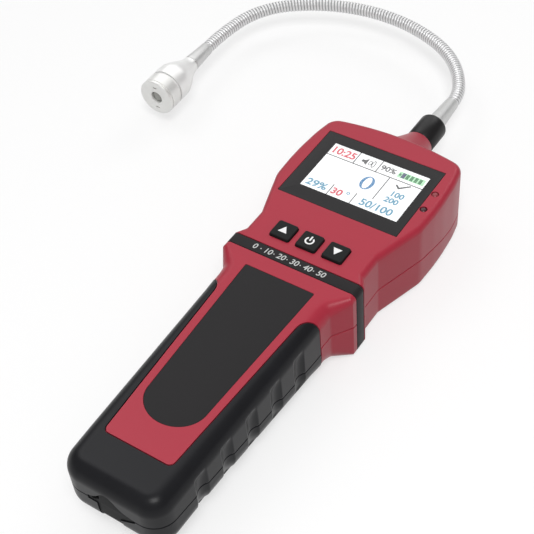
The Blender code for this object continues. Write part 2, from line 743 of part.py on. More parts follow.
def build_rear_shell(paint):
    """Red back: head and handle core, with screw posts and battery saddles."""
    rim = PART_Z - CLEAR / 2
    points, faces = rear_skin(lambda y: 0.0, 0.0, rim)
    shell = add_mesh("rear_shell", points, faces, paint)
    wide = 2 * HEAD_HALF_WIDTH
    keep = merge_shapes("rear_red_area", [box((-wide, wide), (GRIP_TOP_Y, HEAD_TOP_Y + wide),
                                              (-WALL, PART_Z + WALL))])
    boolean(shell, keep, "INTERSECT")
    weld(shell, rear_skin(under_grip, GRIP_WALL, rim))
    weld(shell, half_boss(-1))
    cut(shell, hollow(rim, rear_floor))
    posts = [disc(x, y, SEAT_POST_RADIUS, rear_floor(y) - OVERLAP, rim, 14) for x, y, _ in CASE_SCREWS]
    wide = CELL_RADIUS + SADDLE_CHEEK
    saddles = [box((-wide, wide), (y - SADDLE_THICK / 2, y + SADDLE_THICK / 2),
                   (rear_floor(y) - OVERLAP, rim))
               for y in (CELL_Y[0] - SADDLE_SET_BACK, CELL_Y[1] + SADDLE_SET_BACK)]
    weld(shell, *posts, *saddles)
    wells = [disc(x, y, SCREW_HEAD_RADIUS + CLEAR, -OVERLAP, seat, 12) for x, y, seat in CASE_SCREWS]
    cut(shell, *wells)
    cut(shell, *[disc(x, y, SCREW_RADIUS + CLEAR, seat - OVERLAP, rim + OVERLAP, 10)
                 for x, y, seat in CASE_SCREWS])
    lying = Matrix.Translation((0, CELL_Y[1], CELL_Z)) @ Matrix.Rotation(-pi / 2, 4, "X")
    reach = CELL_Y[0] - CELL_Y[1]
    cut(shell, turned([(0, -CLEAR), (CELL_RADIUS + CLEAR, -CLEAR),
                       (CELL_RADIUS + CLEAR, reach + CLEAR), (0, reach + CLEAR)], lying, 20))
    cut(shell, collar_groove())
    cut(shell, neck_bore())
    cut(shell, port_hole())
    return shell


def build_grips(paint):
    """Black grip halves that wrap the handle's sides, back and end."""
    rim = PART_Z + CLEAR / 2
    points, faces = front_skin(lambda y: 0.0, FRONT_Z, rim, flutes=True)
    front = add_mesh("grip_front", points, faces, paint)
    cut(front, front_skin(lambda y: under_grip(y, -CLEAR), FRONT_Z - GRIP_WALL + CLEAR, rim - OVERLAP))
    cut(front, prism(grown(panel_outline(), CLEAR), rim - WALL, FRONT_Z + WALL))
    cut(front, port_recess())

    rim = PART_Z - CLEAR / 2
    points, faces = rear_skin(lambda y: 0.0, 0.0, rim, flutes=True)
    rear = add_mesh("grip_rear", points, faces, paint)
    cut(rear, rear_skin(lambda y: under_grip(y, -CLEAR), GRIP_WALL - CLEAR, rim + OVERLAP))
    wide = 2 * HEAD_HALF_WIDTH
    cut(rear, box((-wide, wide), (GRIP_TOP_Y - CLEAR, HEAD_TOP_Y + wide), (-WALL, PART_Z + WALL)))
    cut(rear, port_recess())
    cut(rear, port_hole(), *[disc(x, y, SCREW_HEAD_RADIUS + 2 * CLEAR, -OVERLAP, seat, 12)
                             for x, y, seat in CASE_SCREWS if y < GRIP_TOP_Y])
    return front, rear


def build_collar_band(paint):
    """Black hoop seated in the groove round the waist of the casing."""
    points, faces = ring_along_y(collar_section(0.0), collar_section(BAND_DEPTH - CLEAR),
                                 BAND_MID_Y - BAND_WIDTH / 2, BAND_MID_Y + BAND_WIDTH / 2)
    return add_mesh("collar_band", points, faces, paint)


def build_label(paint):
    points, faces = prism(label_outline(), FRONT_Z - LABEL_THICK, FRONT_Z)
    return add_mesh("handle_label", points, faces, paint)


def build_display(paints):
    """Window, screen module and the foam pad that holds it off the board."""
    window = prism([(-WINDOW_X, WINDOW_Y[0]), (WINDOW_X, WINDOW_Y[0]),
                    (WINDOW_X, WINDOW_Y[1]), (-WINDOW_X, WINDOW_Y[1])],
                   FRONT_Z - WINDOW_THICK, FRONT_Z)
    add_mesh("display_window", *window, paints["window"])
    top = FRONT_Z - WALL - CLEAR
    low = top - LCD_THICK
    module = add_mesh("lcd_module", *box((-LCD_HALF[0], LCD_HALF[0]),
                                         (SCREEN_Y - LCD_HALF[1], SCREEN_Y + LCD_HALF[1]),
                                         (low, top)), paints["screen"])
    half_x = SCREEN_HALF[0] + SCREEN_MARGIN
    half_y = SCREEN_HALF[1] + SCREEN_MARGIN
    weld(module, box((-half_x, half_x), (SCREEN_Y - half_y, SCREEN_Y + half_y),
                     (top - OVERLAP, top + GLASS_RISE)))
    pad = ring_of_prism(pad_outline(PAD_SET_BACK), pad_outline(PAD_SET_BACK + PAD_WIDTH),
                        BOARD_TOP_Z + CLEAR, low - CLEAR)
    add_mesh("display_pad", *pad, paints["foam"])


def pad_outline(inset):
    return rectangle(LCD_HALF[0] - inset, LCD_HALF[1] - inset, PAD_SET_BACK, 0, SCREEN_Y)


def ring_of_prism(outer, inner, low, high):
    """Plan ring between two outlines of equal count, raised between heights."""
    points, faces = ring_along_y(outer, inner, low, high)
    return [(x, z, y) for x, y, z in points], faces


def build_keys(paints):
    """Rubber keys with a retaining lip and a stem, each over its switch."""
    for name, (x, y) in zip(KEY_NAMES, key_spots()):
        lip_top = FRONT_Z - WALL - CLEAR
        lip_low = lip_top - KEY_LIP_THICK
        top = FRONT_Z + KEY_RISE
        lip = [KEY_HALF[0] + KEY_LIP, KEY_HALF[1] + KEY_LIP]
        levels = ((lip, KEY_FILLET, lip_low), (lip, KEY_FILLET, lip_top),
                  (KEY_HALF, KEY_FILLET, lip_top), (KEY_HALF, KEY_FILLET, top - KEY_EDGE),
                  ([half - KEY_EDGE for half in KEY_HALF], KEY_FILLET, top))
        rings = [[(px, py, z) for px, py in rectangle(*half, fillet, x, y)]
                 for half, fillet, z in levels]
        key = add_mesh("key_" + name, *loft(rings), paints["key"], (x, y, top))
        stem_low = lip_low - KEY_STEM_LENGTH
        weld(key, disc(x, y, KEY_STEM_RADIUS, stem_low, lip_low + KEY_LIP_THICK / 2, 10))
        body_low = BOARD_TOP_Z + CLEAR
        body_top = lip_low - KEY_TRAVEL - CLEAR
        switch = add_mesh("switch_" + name,
                          *prism(rectangle(SWITCH_HALF, SWITCH_HALF, KEY_EDGE, x, y), body_low, body_top),
                          paints["switch"])
        cut(switch, disc(x, y, KEY_STEM_RADIUS + CLEAR, stem_low - KEY_TRAVEL - CLEAR,
                         body_top + OVERLAP, 12))


def build_board(paint):
    """Main circuit board, cut out round its screws."""
    right = list(BOARD_OUTLINE)
    outline = right + [(-x, y) for x, y in right[::-1]]
    low = BOARD_TOP_Z - BOARD_THICK
    board = add_mesh("main_board", *prism(outline, low, BOARD_TOP_Z), paint)
    cut(board, *[disc(x, y, BOARD_SCREW_RADIUS + CLEAR, low - WALL, BOARD_TOP_Z + WALL, 8)
                 for x, y in mirrored_spots(BOARD_SCREW_SPOTS)])
    return board


def upright(x, y, z):
    return Matrix.Translation((x, y, z))


def build_lamps(paints):
    """Two small lamps whose domes show through the front."""
    for name, y in LAMP_Y.items():
        foot = BOARD_TOP_Z + CLEAR
        dome = FRONT_Z - LAMP_SINK - foot
        profile = [(0, 0), (LAMP_RADIUS + LAMP_FOOT, 0), (LAMP_RADIUS + LAMP_FOOT, LAMP_FOOT_HEIGHT),
                   (LAMP_RADIUS, LAMP_FOOT_HEIGHT), (LAMP_RADIUS, dome)]
        for k in range(1, 4):
            turn = radians(90) * k / 4
            profile.append((LAMP_RADIUS * cos(turn), dome + LAMP_DOME * sin(turn)))
        profile.append((0, dome + LAMP_DOME))
        lamp = add_mesh(name, *turned(profile, upright(LAMP_X, y, foot), 12), paints[name])
        smooth(lamp)


def build_buzzer(paint):
    """Sounder under the board, with its sound hole facing down."""
    top = BOARD_TOP_Z - BOARD_THICK - CLEAR
    profile = [(0, 0), (BUZZER_RADIUS, 0), (BUZZER_RADIUS, -BUZZER_HEIGHT),
               (BUZZER_HOLE_RADIUS, -BUZZER_HEIGHT),
               (BUZZER_HOLE_RADIUS, -BUZZER_HEIGHT + BUZZER_HOLE_DEPTH),
               (0, -BUZZER_HEIGHT + BUZZER_HOLE_DEPTH)]
    smooth(add_mesh("buzzer", *turned(profile, upright(*BUZZER_SPOT, top), 16), paint))


def build_power(paints):
    """Battery cell, charging board and charging socket in the handle."""
    lying = Matrix.Translation((0, CELL_Y[1], CELL_Z)) @ Matrix.Rotation(-pi / 2, 4, "X")
    length = CELL_Y[0] - CELL_Y[1]
    profile = [(0, 0), (CELL_RADIUS - CELL_EDGE, 0), (CELL_RADIUS, CELL_EDGE),
               (CELL_RADIUS, length - CELL_EDGE), (CELL_RADIUS - CELL_EDGE, length), (0, length)]
    smooth(add_mesh("battery_cell", *turned(profile, lying, 20), paints["battery"]))
    socket_low = PORT_Z - SOCKET_HALF[1]
    board_top = socket_low - CLEAR
    mouth = HANDLE_END_Y + SOCKET_SET_BACK
    tail = mouth + SOCKET_LENGTH
    add_mesh("charge_board", *box((-CHARGE_BOARD_HALF_WIDTH, CHARGE_BOARD_HALF_WIDTH),
                                  (mouth, mouth + CHARGE_BOARD_LENGTH),
                                  (board_top - CHARGE_BOARD_THICK, board_top)), paints["board"])
    socket = add_mesh("charging_socket",
                      *along_y([(sx * SOCKET_HALF[0], PORT_Z + sz * SOCKET_HALF[1])
                                for sx, sz in ((-1, -1), (1, -1), (1, 1), (-1, 1))],
                               mouth, tail), paints["steel"])
    inner = [half - SOCKET_WALL for half in SOCKET_HALF]
    cut(socket, box((-inner[0], inner[0]), (mouth - WALL, tail - WALL),
                    (PORT_Z - inner[1], PORT_Z + inner[1])))


def build_flap(paint):
    """Rubber flap over the charging port, hinged along its lower edge."""
    seat = HANDLE_END_Y + GRIP_END_WALL - CLEAR
    outer = seat - FLAP_THICK
    flap = add_mesh("port_flap", *along_y(flap_outline(), outer, seat), paint,
                    (0, outer, FLAP_BASE_Z))
    notch = Matrix.Translation((-FLAP_HALF_WIDTH, outer - WALL, PART_Z)) \
        @ Matrix.Rotation(-pi / 2, 4, "X")
    cut(flap, turned([(0, 0), (FLAP_NOTCH_RADIUS, 0), (FLAP_NOTCH_RADIUS, 3 * WALL), (0, 3 * WALL)],
                     notch, 12))


def build_screws(paint):
    """Case screws from the back and board screws from under the board."""
    sides = 10
    for k, (x, y, seat) in enumerate(CASE_SCREWS):
        head = seat - CLEAR
        profile = screw_profile(SCREW_HEAD_RADIUS, SCREW_HEAD_HEIGHT, SCREW_RADIUS,
                                CASE_SCREW_TIP_Z - head)
        smooth(add_mesh("case_screw_%d" % (k + 1), *turned(profile, upright(x, y, head), sides), paint))
    for k, (x, y) in enumerate(mirrored_spots(BOARD_SCREW_SPOTS)):
        head = BOARD_TOP_Z - BOARD_THICK - CLEAR
        profile = screw_profile(BOARD_SCREW_HEAD_RADIUS, BOARD_SCREW_HEAD_HEIGHT,
                                BOARD_SCREW_RADIUS, BOARD_SCREW_TIP_Z - head)
        smooth(add_mesh("board_screw_%d" % (k + 1), *turned(profile, upright(x, y, head), sides), paint))


def screw_profile(head_radius, head_height, radius, reach):
    """Pan head with a round socket below its seat, and a shank above it."""
    socket = 0.4 * head_radius
    return [(0, -0.5 * head_height), (socket, -0.5 * head_height), (socket, -head_height),
            (0.75 * head_radius, -head_height), (head_radius, -0.6 * head_height),
            (head_radius, 0), (radius, 0), (radius, reach - radius), (0.3 * radius, reach),
            (0, reach)]


# Neck and probe

def neck_frame(distance):
    """Matrix at a distance along the neck: Z is its axis and X points up."""
    x, y, heading = 0.0, NECK_START_Y, pi / 2
    left = distance
    for length, turn in NECK_BENDS:
        step = min(left, length)
        if turn and step > 0:
            bend = radians(turn) / length
            after = heading + bend * step
            x += (sin(after) - sin(heading)) / bend
            y -= (cos(after) - cos(heading)) / bend
            heading = after
        left -= step
    x += left * cos(heading)
    y += left * sin(heading)
    axis = Vector((cos(heading), sin(heading), 0))
    across = Z_AXIS.cross(axis)
    turn_to = Matrix((Z_AXIS, -across, axis)).transposed().to_4x4()
    return Matrix.Translation((x, y, PART_Z)) @ turn_to


def neck_length():
    return sum(length for length, _ in NECK_BENDS)


def neck_relief(radius):
    """Set-back of a piece's end face, so that neighbours clear at full turn."""
    return CLEAR / 2 + radius * tan(radians(NECK_SWING_LIMIT / 2 + 0.8))


def neck_ring(distance, radius, sides):
    frame = neck_frame(distance)
    return [frame @ Vector((radius * cos(2 * pi * k / sides), radius * sin(2 * pi * k / sides), 0))
            for k in range(sides)]


def neck_piece(start, end, first, last):
    """Ribbed, bored length of gooseneck between two joints.

    The end at a joint slopes back from the bore to the rim. The first and the
    last pieces end square, against their ferrules.
    """
    front = CLEAR if first else neck_relief(NECK_VALLEY_RADIUS)
    rear = CLEAR if last else neck_relief(NECK_VALLEY_RADIUS)
    low, high = start + front, end - rear
    ribs = max(2, round((high - low) / RIB_PITCH))
    bore_low = start + (CLEAR if first else neck_relief(NECK_BORE))
    bore_high = end - (CLEAR if last else neck_relief(NECK_BORE))
    rings = [neck_ring(bore_low, NECK_BORE, NECK_SIDES)]
    for k in range(2 * ribs + 1):
        radius = NECK_RADIUS if k % 2 else NECK_VALLEY_RADIUS
        rings.append(neck_ring(blend(low, high, k / (2 * ribs)), radius, NECK_SIDES))
    rings.append(neck_ring(bore_high, NECK_BORE, NECK_SIDES))
    rings.append(neck_ring(blend(bore_low, bore_high, 0.5), NECK_BORE, NECK_SIDES))
    return closed_loft(rings)


def closed_loft(rings):
    """Tube wall whose last ring meets its first."""
    count = len(rings[0])
    points = [p for ring in rings for p in ring]
    faces = []
    for level in range(len(rings)):
        here, there = level * count, (level + 1) % len(rings) * count
        for i in range(count):
            j = (i + 1) % count
            faces.append((here + i, here + j, there + j, there + i))
    return points, faces


def build_neck(paint):
    """Gooseneck in pieces, one to each stretch between two bending joints."""
    length = neck_length()
    for k in range(NECK_PIECES):
        start = length * k / NECK_PIECES
        end = length * (k + 1) / NECK_PIECES
        shape = neck_piece(start, end, k == 0, k == NECK_PIECES - 1)
        hinge = neck_frame(start).translation
        smooth(add_mesh("neck_piece_%02d" % (k + 1), *shape, paint, hinge), 60)


def build_neck_fittings(paints):
    """Threaded bush, clamping nut and the two ferrules of the gooseneck."""
    base = HEAD_TOP_Y - WALL - CLEAR - BUSH_FLANGE_THICK
    along = Matrix.Translation((0, 0, PART_Z)) @ Matrix.Rotation(-pi / 2, 4, "X")
    bush = [(BUSH_BORE, base), (BUSH_FLANGE_RADIUS, base),
            (BUSH_FLANGE_RADIUS, base + BUSH_FLANGE_THICK), (BUSH_RADIUS, base + BUSH_FLANGE_THICK),
            (BUSH_RADIUS, BUSH_END_Y), (BUSH_BORE, BUSH_END_Y)]
    smooth(add_mesh("neck_bush", *turned(bush, along, 20), paints["brass"]))

    nut_low = BOSS_END_Y + CLEAR
    nut_high = nut_low + NUT_LENGTH
    shoulder = BUSH_END_Y + 2 * CLEAR + FERRULE_FLANGE
    bore = BUSH_RADIUS + CLEAR
    nut = [(bore, nut_low), (NUT_RADIUS, nut_low)]
    for k in range(4):
        turn = radians(90) * k / 3
        nut.append((NUT_RADIUS - NUT_EDGE * (1 - cos(turn)), nut_high - NUT_EDGE * (1 - sin(turn))))
    nut += [(FERRULE_RADIUS + CLEAR, nut_high), (FERRULE_RADIUS + CLEAR, shoulder + CLEAR),
            (bore, shoulder + CLEAR)]
    smooth(add_mesh("neck_nut", *turned(nut, along, 24), paints["black"]))

    flange = BUSH_END_Y + CLEAR
    spigot = NECK_BORE - 2 * CLEAR
    ferrule = [(0, flange), (BUSH_RADIUS, flange), (BUSH_RADIUS, flange + FERRULE_FLANGE),
               (FERRULE_RADIUS, flange + FERRULE_FLANGE), (FERRULE_RADIUS, nut_high + FERRULE_COLLAR),
               (FERRULE_TIP_RADIUS, NECK_START_Y), (spigot, NECK_START_Y),
               (spigot, NECK_START_Y + SPIGOT_LENGTH), (0, NECK_START_Y + SPIGOT_LENGTH)]
    smooth(add_mesh("lower_ferrule", *turned(ferrule, along, 20), paints["nickel"]))

    end = neck_frame(neck_length())
    small, large = TIP_FERRULE_RADII
    ferrule = [(0, -SPIGOT_LENGTH), (spigot, -SPIGOT_LENGTH), (spigot, 0), (small, 0),
               (large, TIP_FERRULE_LENGTH - FERRULE_COLLAR), (large, TIP_FERRULE_LENGTH),
               (0, TIP_FERRULE_LENGTH)]
    smooth(add_mesh("upper_ferrule", *turned(ferrule, end, 20), paints["nickel"]))


def bell_profile():
    """Outside of the probe body: neck, flare and straight skirt."""
    low = TIP_FERRULE_LENGTH + CLEAR
    skirt = low + PROBE_LENGTH * PROBE_FLARE_SHARE
    profile = []
    for k in range(9):
        share = k / 8
        ease = share * share * (3 - 2 * share)
        profile.append((blend(PROBE_NECK_RADIUS, PROBE_RADIUS, ease), blend(low, skirt, share)))
    return profile


def build_probe(paints):
    """Probe body, seal, cap, inlet mesh and gas sensor."""
    end = neck_frame(neck_length())
    low = TIP_FERRULE_LENGTH + CLEAR
    face = low + PROBE_LENGTH
    joint = face - PROBE_CAP_LENGTH
    well = joint - SENSOR_LENGTH + INLET_DEPTH + MESH_THICK
    rim = joint - SEAL_THICK - 2 * CLEAR
    bore = SENSOR_RADIUS + CLEAR
    body = [(0, low)] + bell_profile() + [(PROBE_RADIUS, rim), (bore, rim), (bore, well), (0, well)]
    smooth(add_mesh("probe_body", *turned(body, end, 24), paints["probe"]))

    seal_radius = PROBE_RADIUS - PROBE_GROOVE
    seal = [(bore + PROBE_WALL, rim + CLEAR), (seal_radius, rim + CLEAR),
            (seal_radius, joint - CLEAR), (bore + PROBE_WALL, joint - CLEAR)]
    smooth(add_mesh("probe_seal", *turned(seal, end, 24), paints["black"]))

    groove = face - PROBE_FACE_GROOVE_AT
    ledge = face - INLET_DEPTH
    half = PROBE_GROOVE_HALF
    cap = [(bore, joint), (PROBE_RADIUS, joint), (PROBE_RADIUS, groove - half),
           (seal_radius, groove - half), (seal_radius, groove + half),
           (PROBE_RADIUS, groove + half), (PROBE_RADIUS, face - PROBE_EDGE),
           (PROBE_RADIUS - PROBE_EDGE, face), (INLET_RADIUS, face), (INLET_RADIUS, ledge), (bore, ledge)]
    made = add_mesh("probe_cap", *turned(cap, end, 24), paints["probe"])
    for side in (1, -1):
        slot = [(side * SLOT_OFFSET + x, y) for x, y in ((-SLOT_HALF[0], -SLOT_HALF[1]),
                                                         (SLOT_HALF[0], -SLOT_HALF[1]),
                                                         (SLOT_HALF[0], SLOT_HALF[1]),
                                                         (-SLOT_HALF[0], SLOT_HALF[1]))]
        rings = [[end @ Vector((x, y, z)) for x, y in slot] for z in (face - SLOT_DEPTH, face + OVERLAP)]
        cut(made, loft(rings))
    smooth(made)

    mesh_radius = SENSOR_RADIUS - CLEAR
    mesh_low = ledge - CLEAR - MESH_THICK
    mesh = [(0, mesh_low), (mesh_radius, mesh_low), (mesh_radius, ledge - CLEAR), (0, ledge - CLEAR)]
    smooth(add_mesh("inlet_mesh", *turned(mesh, end, 20), paints["mesh"]))
    top = mesh_low - CLEAR
    can = [(0, well + CLEAR), (SENSOR_RADIUS, well + CLEAR), (SENSOR_RADIUS, top - SENSOR_EDGE),
           (SENSOR_RADIUS - SENSOR_EDGE, top), (SENSOR_HOLE_RADIUS, top),
           (SENSOR_HOLE_RADIUS, top - SENSOR_HOLE_DEPTH), (0, top - SENSOR_HOLE_DEPTH)]
    smooth(add_mesh("gas_sensor", *turned(can, end, 20), paints["nickel"]))


def build():
    clear_scene()
    red = material("red_plastic", (0.42, 0.055, 0.075), 0.42)
    black = material("black_rubber", (0.020, 0.021, 0.023), 0.55)
    shells = [build_front_shell(red), build_rear_shell(material("red_back", (0.40, 0.052, 0.07), 0.45))]
    for shell in shells:
        smooth(shell, 30)
    for grip in build_grips(black):
        smooth(grip, 30)
    smooth(build_collar_band(material("band_black", (0.028, 0.028, 0.029), 0.4)), 30)
    build_label(material("label_grey", (0.042, 0.040, 0.042), 0.35))
    build_display({"window": material("window_dark", (0.040, 0.040, 0.042), 0.12),
                   "screen": material("screen_white", (0.85, 0.87, 0.88), 0.3),
                   "foam": material("foam", (0.03, 0.03, 0.03), 0.95)})
    build_keys({"key": material("key_rubber", (0.022, 0.022, 0.024), 0.5),
                "switch": material("switch_black", (0.03, 0.03, 0.03), 0.45)})
    board = material("board_green", (0.02, 0.16, 0.06), 0.4)
    build_board(board)
    build_lamps({"alarm_lamp": material("lamp_red", (0.55, 0.08, 0.08), 0.15),
                 "status_lamp": material("lamp_dark", (0.06, 0.02, 0.02), 0.15)})
    build_buzzer(material("buzzer_black", (0.02, 0.02, 0.02), 0.4))
    steel = material("steel", (0.55, 0.55, 0.56), 0.3, 1.0)
    build_power({"battery": material("battery_wrap", (0.03, 0.12, 0.35), 0.35),
                 "board": board, "steel": steel})
    build_flap(material("flap_rubber", (0.022, 0.023, 0.024), 0.6))
    build_screws(material("screw_steel", (0.35, 0.35, 0.36), 0.35, 1.0))
    nickel = material("nickel", (0.72, 0.72, 0.70), 0.22, 1.0)
    build_neck_fittings({"brass": material("brass", (0.70, 0.52, 0.25), 0.3, 1.0),
                         "black": material("nut_black", (0.02, 0.02, 0.021), 0.4), "nickel": nickel})
    build_neck(material("neck_chrome", (0.78, 0.78, 0.79), 0.18, 1.0))
    build_probe({"probe": material("probe_silver", (0.80, 0.81, 0.79), 0.3, 1.0),
                 "black": black, "mesh": material("mesh_steel", (0.30, 0.30, 0.29), 0.5, 1.0),
                 "nickel": nickel})


build()
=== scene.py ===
# %% [markdown]
# # A hand-held gas leak detector
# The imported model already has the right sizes, bodies and joints. This lesson dresses it: it loads
# the model as a fixed frame, gives each piece a finer surface and a finish, and sets up a plain
# studio. Lengths are in millimetres here, and become metres when a mesh is made.

import bmesh
import bpy
import numpy as np
from mathutils import Matrix, Vector


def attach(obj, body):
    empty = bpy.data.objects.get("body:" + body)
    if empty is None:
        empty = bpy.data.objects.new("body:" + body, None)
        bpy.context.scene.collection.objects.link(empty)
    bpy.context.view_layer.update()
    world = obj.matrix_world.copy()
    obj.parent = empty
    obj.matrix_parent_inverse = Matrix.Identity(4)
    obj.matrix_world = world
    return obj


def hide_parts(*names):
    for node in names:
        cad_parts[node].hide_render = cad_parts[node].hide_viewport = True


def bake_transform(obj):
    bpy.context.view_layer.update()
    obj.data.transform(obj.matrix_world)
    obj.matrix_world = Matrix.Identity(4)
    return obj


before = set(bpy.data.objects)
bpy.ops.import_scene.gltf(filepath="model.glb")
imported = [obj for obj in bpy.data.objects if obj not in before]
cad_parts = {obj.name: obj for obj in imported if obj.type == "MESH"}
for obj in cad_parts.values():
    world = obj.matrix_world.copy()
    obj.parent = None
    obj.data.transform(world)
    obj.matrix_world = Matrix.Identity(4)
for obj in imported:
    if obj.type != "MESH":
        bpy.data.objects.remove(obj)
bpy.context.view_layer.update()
MM = 0.001

# %% [markdown]
# ## The camera
# The view was worked out from the casing's outline and the gooseneck. The camera stands to the
# right of the handle and looks down at 47 degrees, slightly rolled, with a long lens.

# %% Camera
def linked(name, data):
    """New object with this data, linked into the scene."""
    made = bpy.data.objects.new(name, data)
    bpy.context.scene.collection.objects.link(made)
    return made


right, up = (0.83389, 0.54792, -0.06642), (-0.36521, 0.638, 0.67792)
back, place = (0.41382, -0.54105, 0.73213), (0.2096, -0.3471, 0.42386)
camera = linked("camera", bpy.data.cameras.new("camera"))
rows = [(right[i], up[i], back[i], place[i]) for i in range(3)]
camera.matrix_world = Matrix(rows + [(0, 0, 0, 1)])
camera.data.lens = 82.0
camera.data.clip_start = 0.01
bpy.context.scene.camera = camera
print("camera at", place)

# %% [markdown]
# ## Nodes in one line each
# The world, the floor and every finish are node trees. These helpers make a node with its settings
# and inputs in one line, so that a tree below reads like the formula that it stands for.

# %% Node helpers
def fill(tree, node, inputs):
    """Give a node its inputs: another node's output is linked, and a number or colour is set."""
    for key, value in inputs.items():
        if isinstance(value, bpy.types.NodeSocket):
            tree.links.new(value, node.inputs[key])
        else:
            node.inputs[key].default_value = value
    return node


def add(tree, kind, inputs, **settings):
    """New node of a kind, with its settings and inputs."""
    node = tree.nodes.new("ShaderNode" + kind)
    for key, value in settings.items():
        setattr(node, key, value)
    return fill(tree, node, inputs)


def maths(tree, operation, first, second):
    """Result of one Math node on two outputs or numbers."""
    return add(tree, "Math", {0: first, 1: second}, operation=operation).outputs[0]


print("node helpers ready")

# %% [markdown]
# ## Parts of a light
# A sky or a glowing floor is made of smooth fades, of which the largest counts, and of a mask that
# tells which kind of ray asks. The mask lets the camera see white where diffuse light finds grey.

# %% Light helpers
def fade(tree, value, start, end, low, high):
    """A value carried smoothly from low, where it is start, to high, where it is end."""
    ranges = {"Value": value, 1: start, 2: end, 3: low, 4: high}
    return add(tree, "MapRange", ranges, interpolation_type="SMOOTHSTEP").outputs["Result"]


def largest(tree, outputs):
    """The largest of several outputs, or zero."""
    most = 0.0
    for output in outputs:
        most = maths(tree, "MAXIMUM", output, most)
    return most


def seen_rays(tree):
    """Mask that is 1 for camera, glossy and transmitted rays, and 0 for diffuse light."""
    path = add(tree, "LightPath", {}).outputs
    return largest(tree, [path["Is %s Ray" % ray] for ray in ("Camera", "Glossy", "Transmission")])


WHITE = (1.0, 1.0, 1.0, 1.0)
print("light helpers ready")

# %% [markdown]
# ## The studio's sky
# Diffuse light comes evenly from a grey sky, which keeps the colours as they are written. A surface
# that mirrors the sky sees more of a studio: white at the horizon, dark overhead so that a face
# looks deep, paler on the handle's side, and one soft panel where the front face mirrors the
# camera, for the even sheen of satin plastic.

# %% World
DIFFUSE_SKY, PANEL_AT = 0.46, (-0.42, 0.49, 0.77)
bpy.context.scene.view_settings.view_transform = "Standard"
world = bpy.data.worlds.new("studio")
world.use_nodes = True
bpy.context.scene.world = world
tree = world.node_tree
aim = add(tree, "TexCoord", {}).outputs["Generated"]
part = add(tree, "SeparateXYZ", {0: aim}).outputs
towards_panel = add(tree, "VectorMath", {0: aim, 1: PANEL_AT}, operation="DOT_PRODUCT").outputs["Value"]
sky = largest(tree, (fade(tree, part["Z"], 0.03, 0.22, 1.0, 0.0),
                     fade(tree, part["Y"], 0.15, -0.75, 0.13, 0.4),
                     fade(tree, towards_panel, 0.76, 0.93, 0.0, 1.6)))
tone = add(tree, "Mix", {"Factor": seen_rays(tree), "A": DIFFUSE_SKY, "B": sky})
fill(tree, tree.nodes["Background"], {"Color": WHITE, "Strength": tone.outputs["Result"]})
print("world made of", len(tree.nodes), "nodes")

# %% [markdown]
# ## The white sweep
# The object lies on white paper. A white under plain light would be grey, and more light would
# bleach the object, so the paper's own material glows a little for camera, glossy and transmitted
# rays, and more towards the far edge. Its diffuse share keeps the object's shadow.

# %% Floor
def new_material(name):
    """New material with its node tree and its Principled shader."""
    made = bpy.data.materials.new(name)
    made.use_nodes = True
    return made, made.node_tree, made.node_tree.nodes["Principled BSDF"]


paper, tree, shader = new_material("studio_paper")
where = add(tree, "TexCoord", {}).outputs["Object"]
far = add(tree, "VectorMath", {0: where}, operation="LENGTH").outputs["Value"]
glow = maths(tree, "MULTIPLY", seen_rays(tree), fade(tree, far, 0.5, 2.5, 0.60, 0.84))
fill(tree, shader, {"Base Color": (0.40, 0.40, 0.40, 1.0), "Roughness": 1.0,
                    "Specular IOR Level": 0.0, "Emission Color": WHITE, "Emission Strength": glow})
sweep = bpy.data.meshes.new("floor")
sweep.from_pydata([(-4, -4, 0), (4, -4, 0), (4, 4, 0), (-4, 4, 0)], [], [(0, 1, 2, 3)])
sweep.materials.append(paper)
floor = linked("floor", sweep)
floor.location.z = -0.0001
print("floor made")

# %% [markdown]
# ## The lamps
# The key lamp stands high on the handle's right and lights the front face evenly, away from the
# direction that the face mirrors to the camera, so that the plastic shows no glare. A wide weak one
# on the left and another beyond the head draw soft highlights on the rounded edges.

# %% Lamps
MIDDLE = Vector((0.0, -0.06, 0.03))


def softbox(name, direction, distance, size, share):
    """Square lamp aimed at the casing. Its share is the light it adds to a surface facing it."""
    lamp = bpy.data.lights.new(name, "AREA")
    lamp.shape = "SQUARE"
    lamp.size = size
    lamp.energy = share * (np.pi * distance) ** 2
    towards = Vector(direction).normalized()
    made = linked(name, lamp)
    made.location = MIDDLE + towards * distance
    made.rotation_euler = (-towards).to_track_quat("-Z", "Y").to_euler()


softbox("key_lamp", (0.30, -0.36, 0.88), 1.3, 0.45, 0.52)
softbox("edge_lamp", (-0.50, 0.10, 0.81), 1.3, 0.6, 0.10)
softbox("head_lamp", (0.10, 0.80, 0.60), 1.2, 0.5, 0.10)
print("three lamps")

# %% [markdown]
# ## From arrays to meshes
# Every new surface below is a grid of points worked out by numpy, so a mesh maker and a face maker
# come first. The maker merges what meets and turns the faces outwards.

# %% Mesh makers
def grid_faces(rows, columns, wrap_rows=False):
    """Quads of a grid of rows x columns points. Each row closes on itself, and the rows may too."""
    r = np.arange(rows if wrap_rows else rows - 1)[:, None]
    c = np.arange(columns)[None, :]
    down, across = (r + 1) % rows * columns, (c + 1) % columns
    here = r * columns
    corners = np.stack(np.broadcast_arrays(here + c, here + across, down + across, down + c), -1)
    return corners.reshape(-1, 4).tolist()


def closed_mesh(name, points, faces):
    """Mesh of points in millimetres, all its faces turned outwards."""
    mesh = bpy.data.meshes.new(name)
    mesh.from_pydata((np.asarray(points, float).reshape(-1, 3) * MM).tolist(), [], faces)
    work = bmesh.new()
    work.from_mesh(mesh)
    bmesh.ops.remove_doubles(work, verts=work.verts, dist=1e-8)
    bmesh.ops.recalc_face_normals(work, faces=work.faces)
    work.to_mesh(mesh)
    work.free()
    return mesh


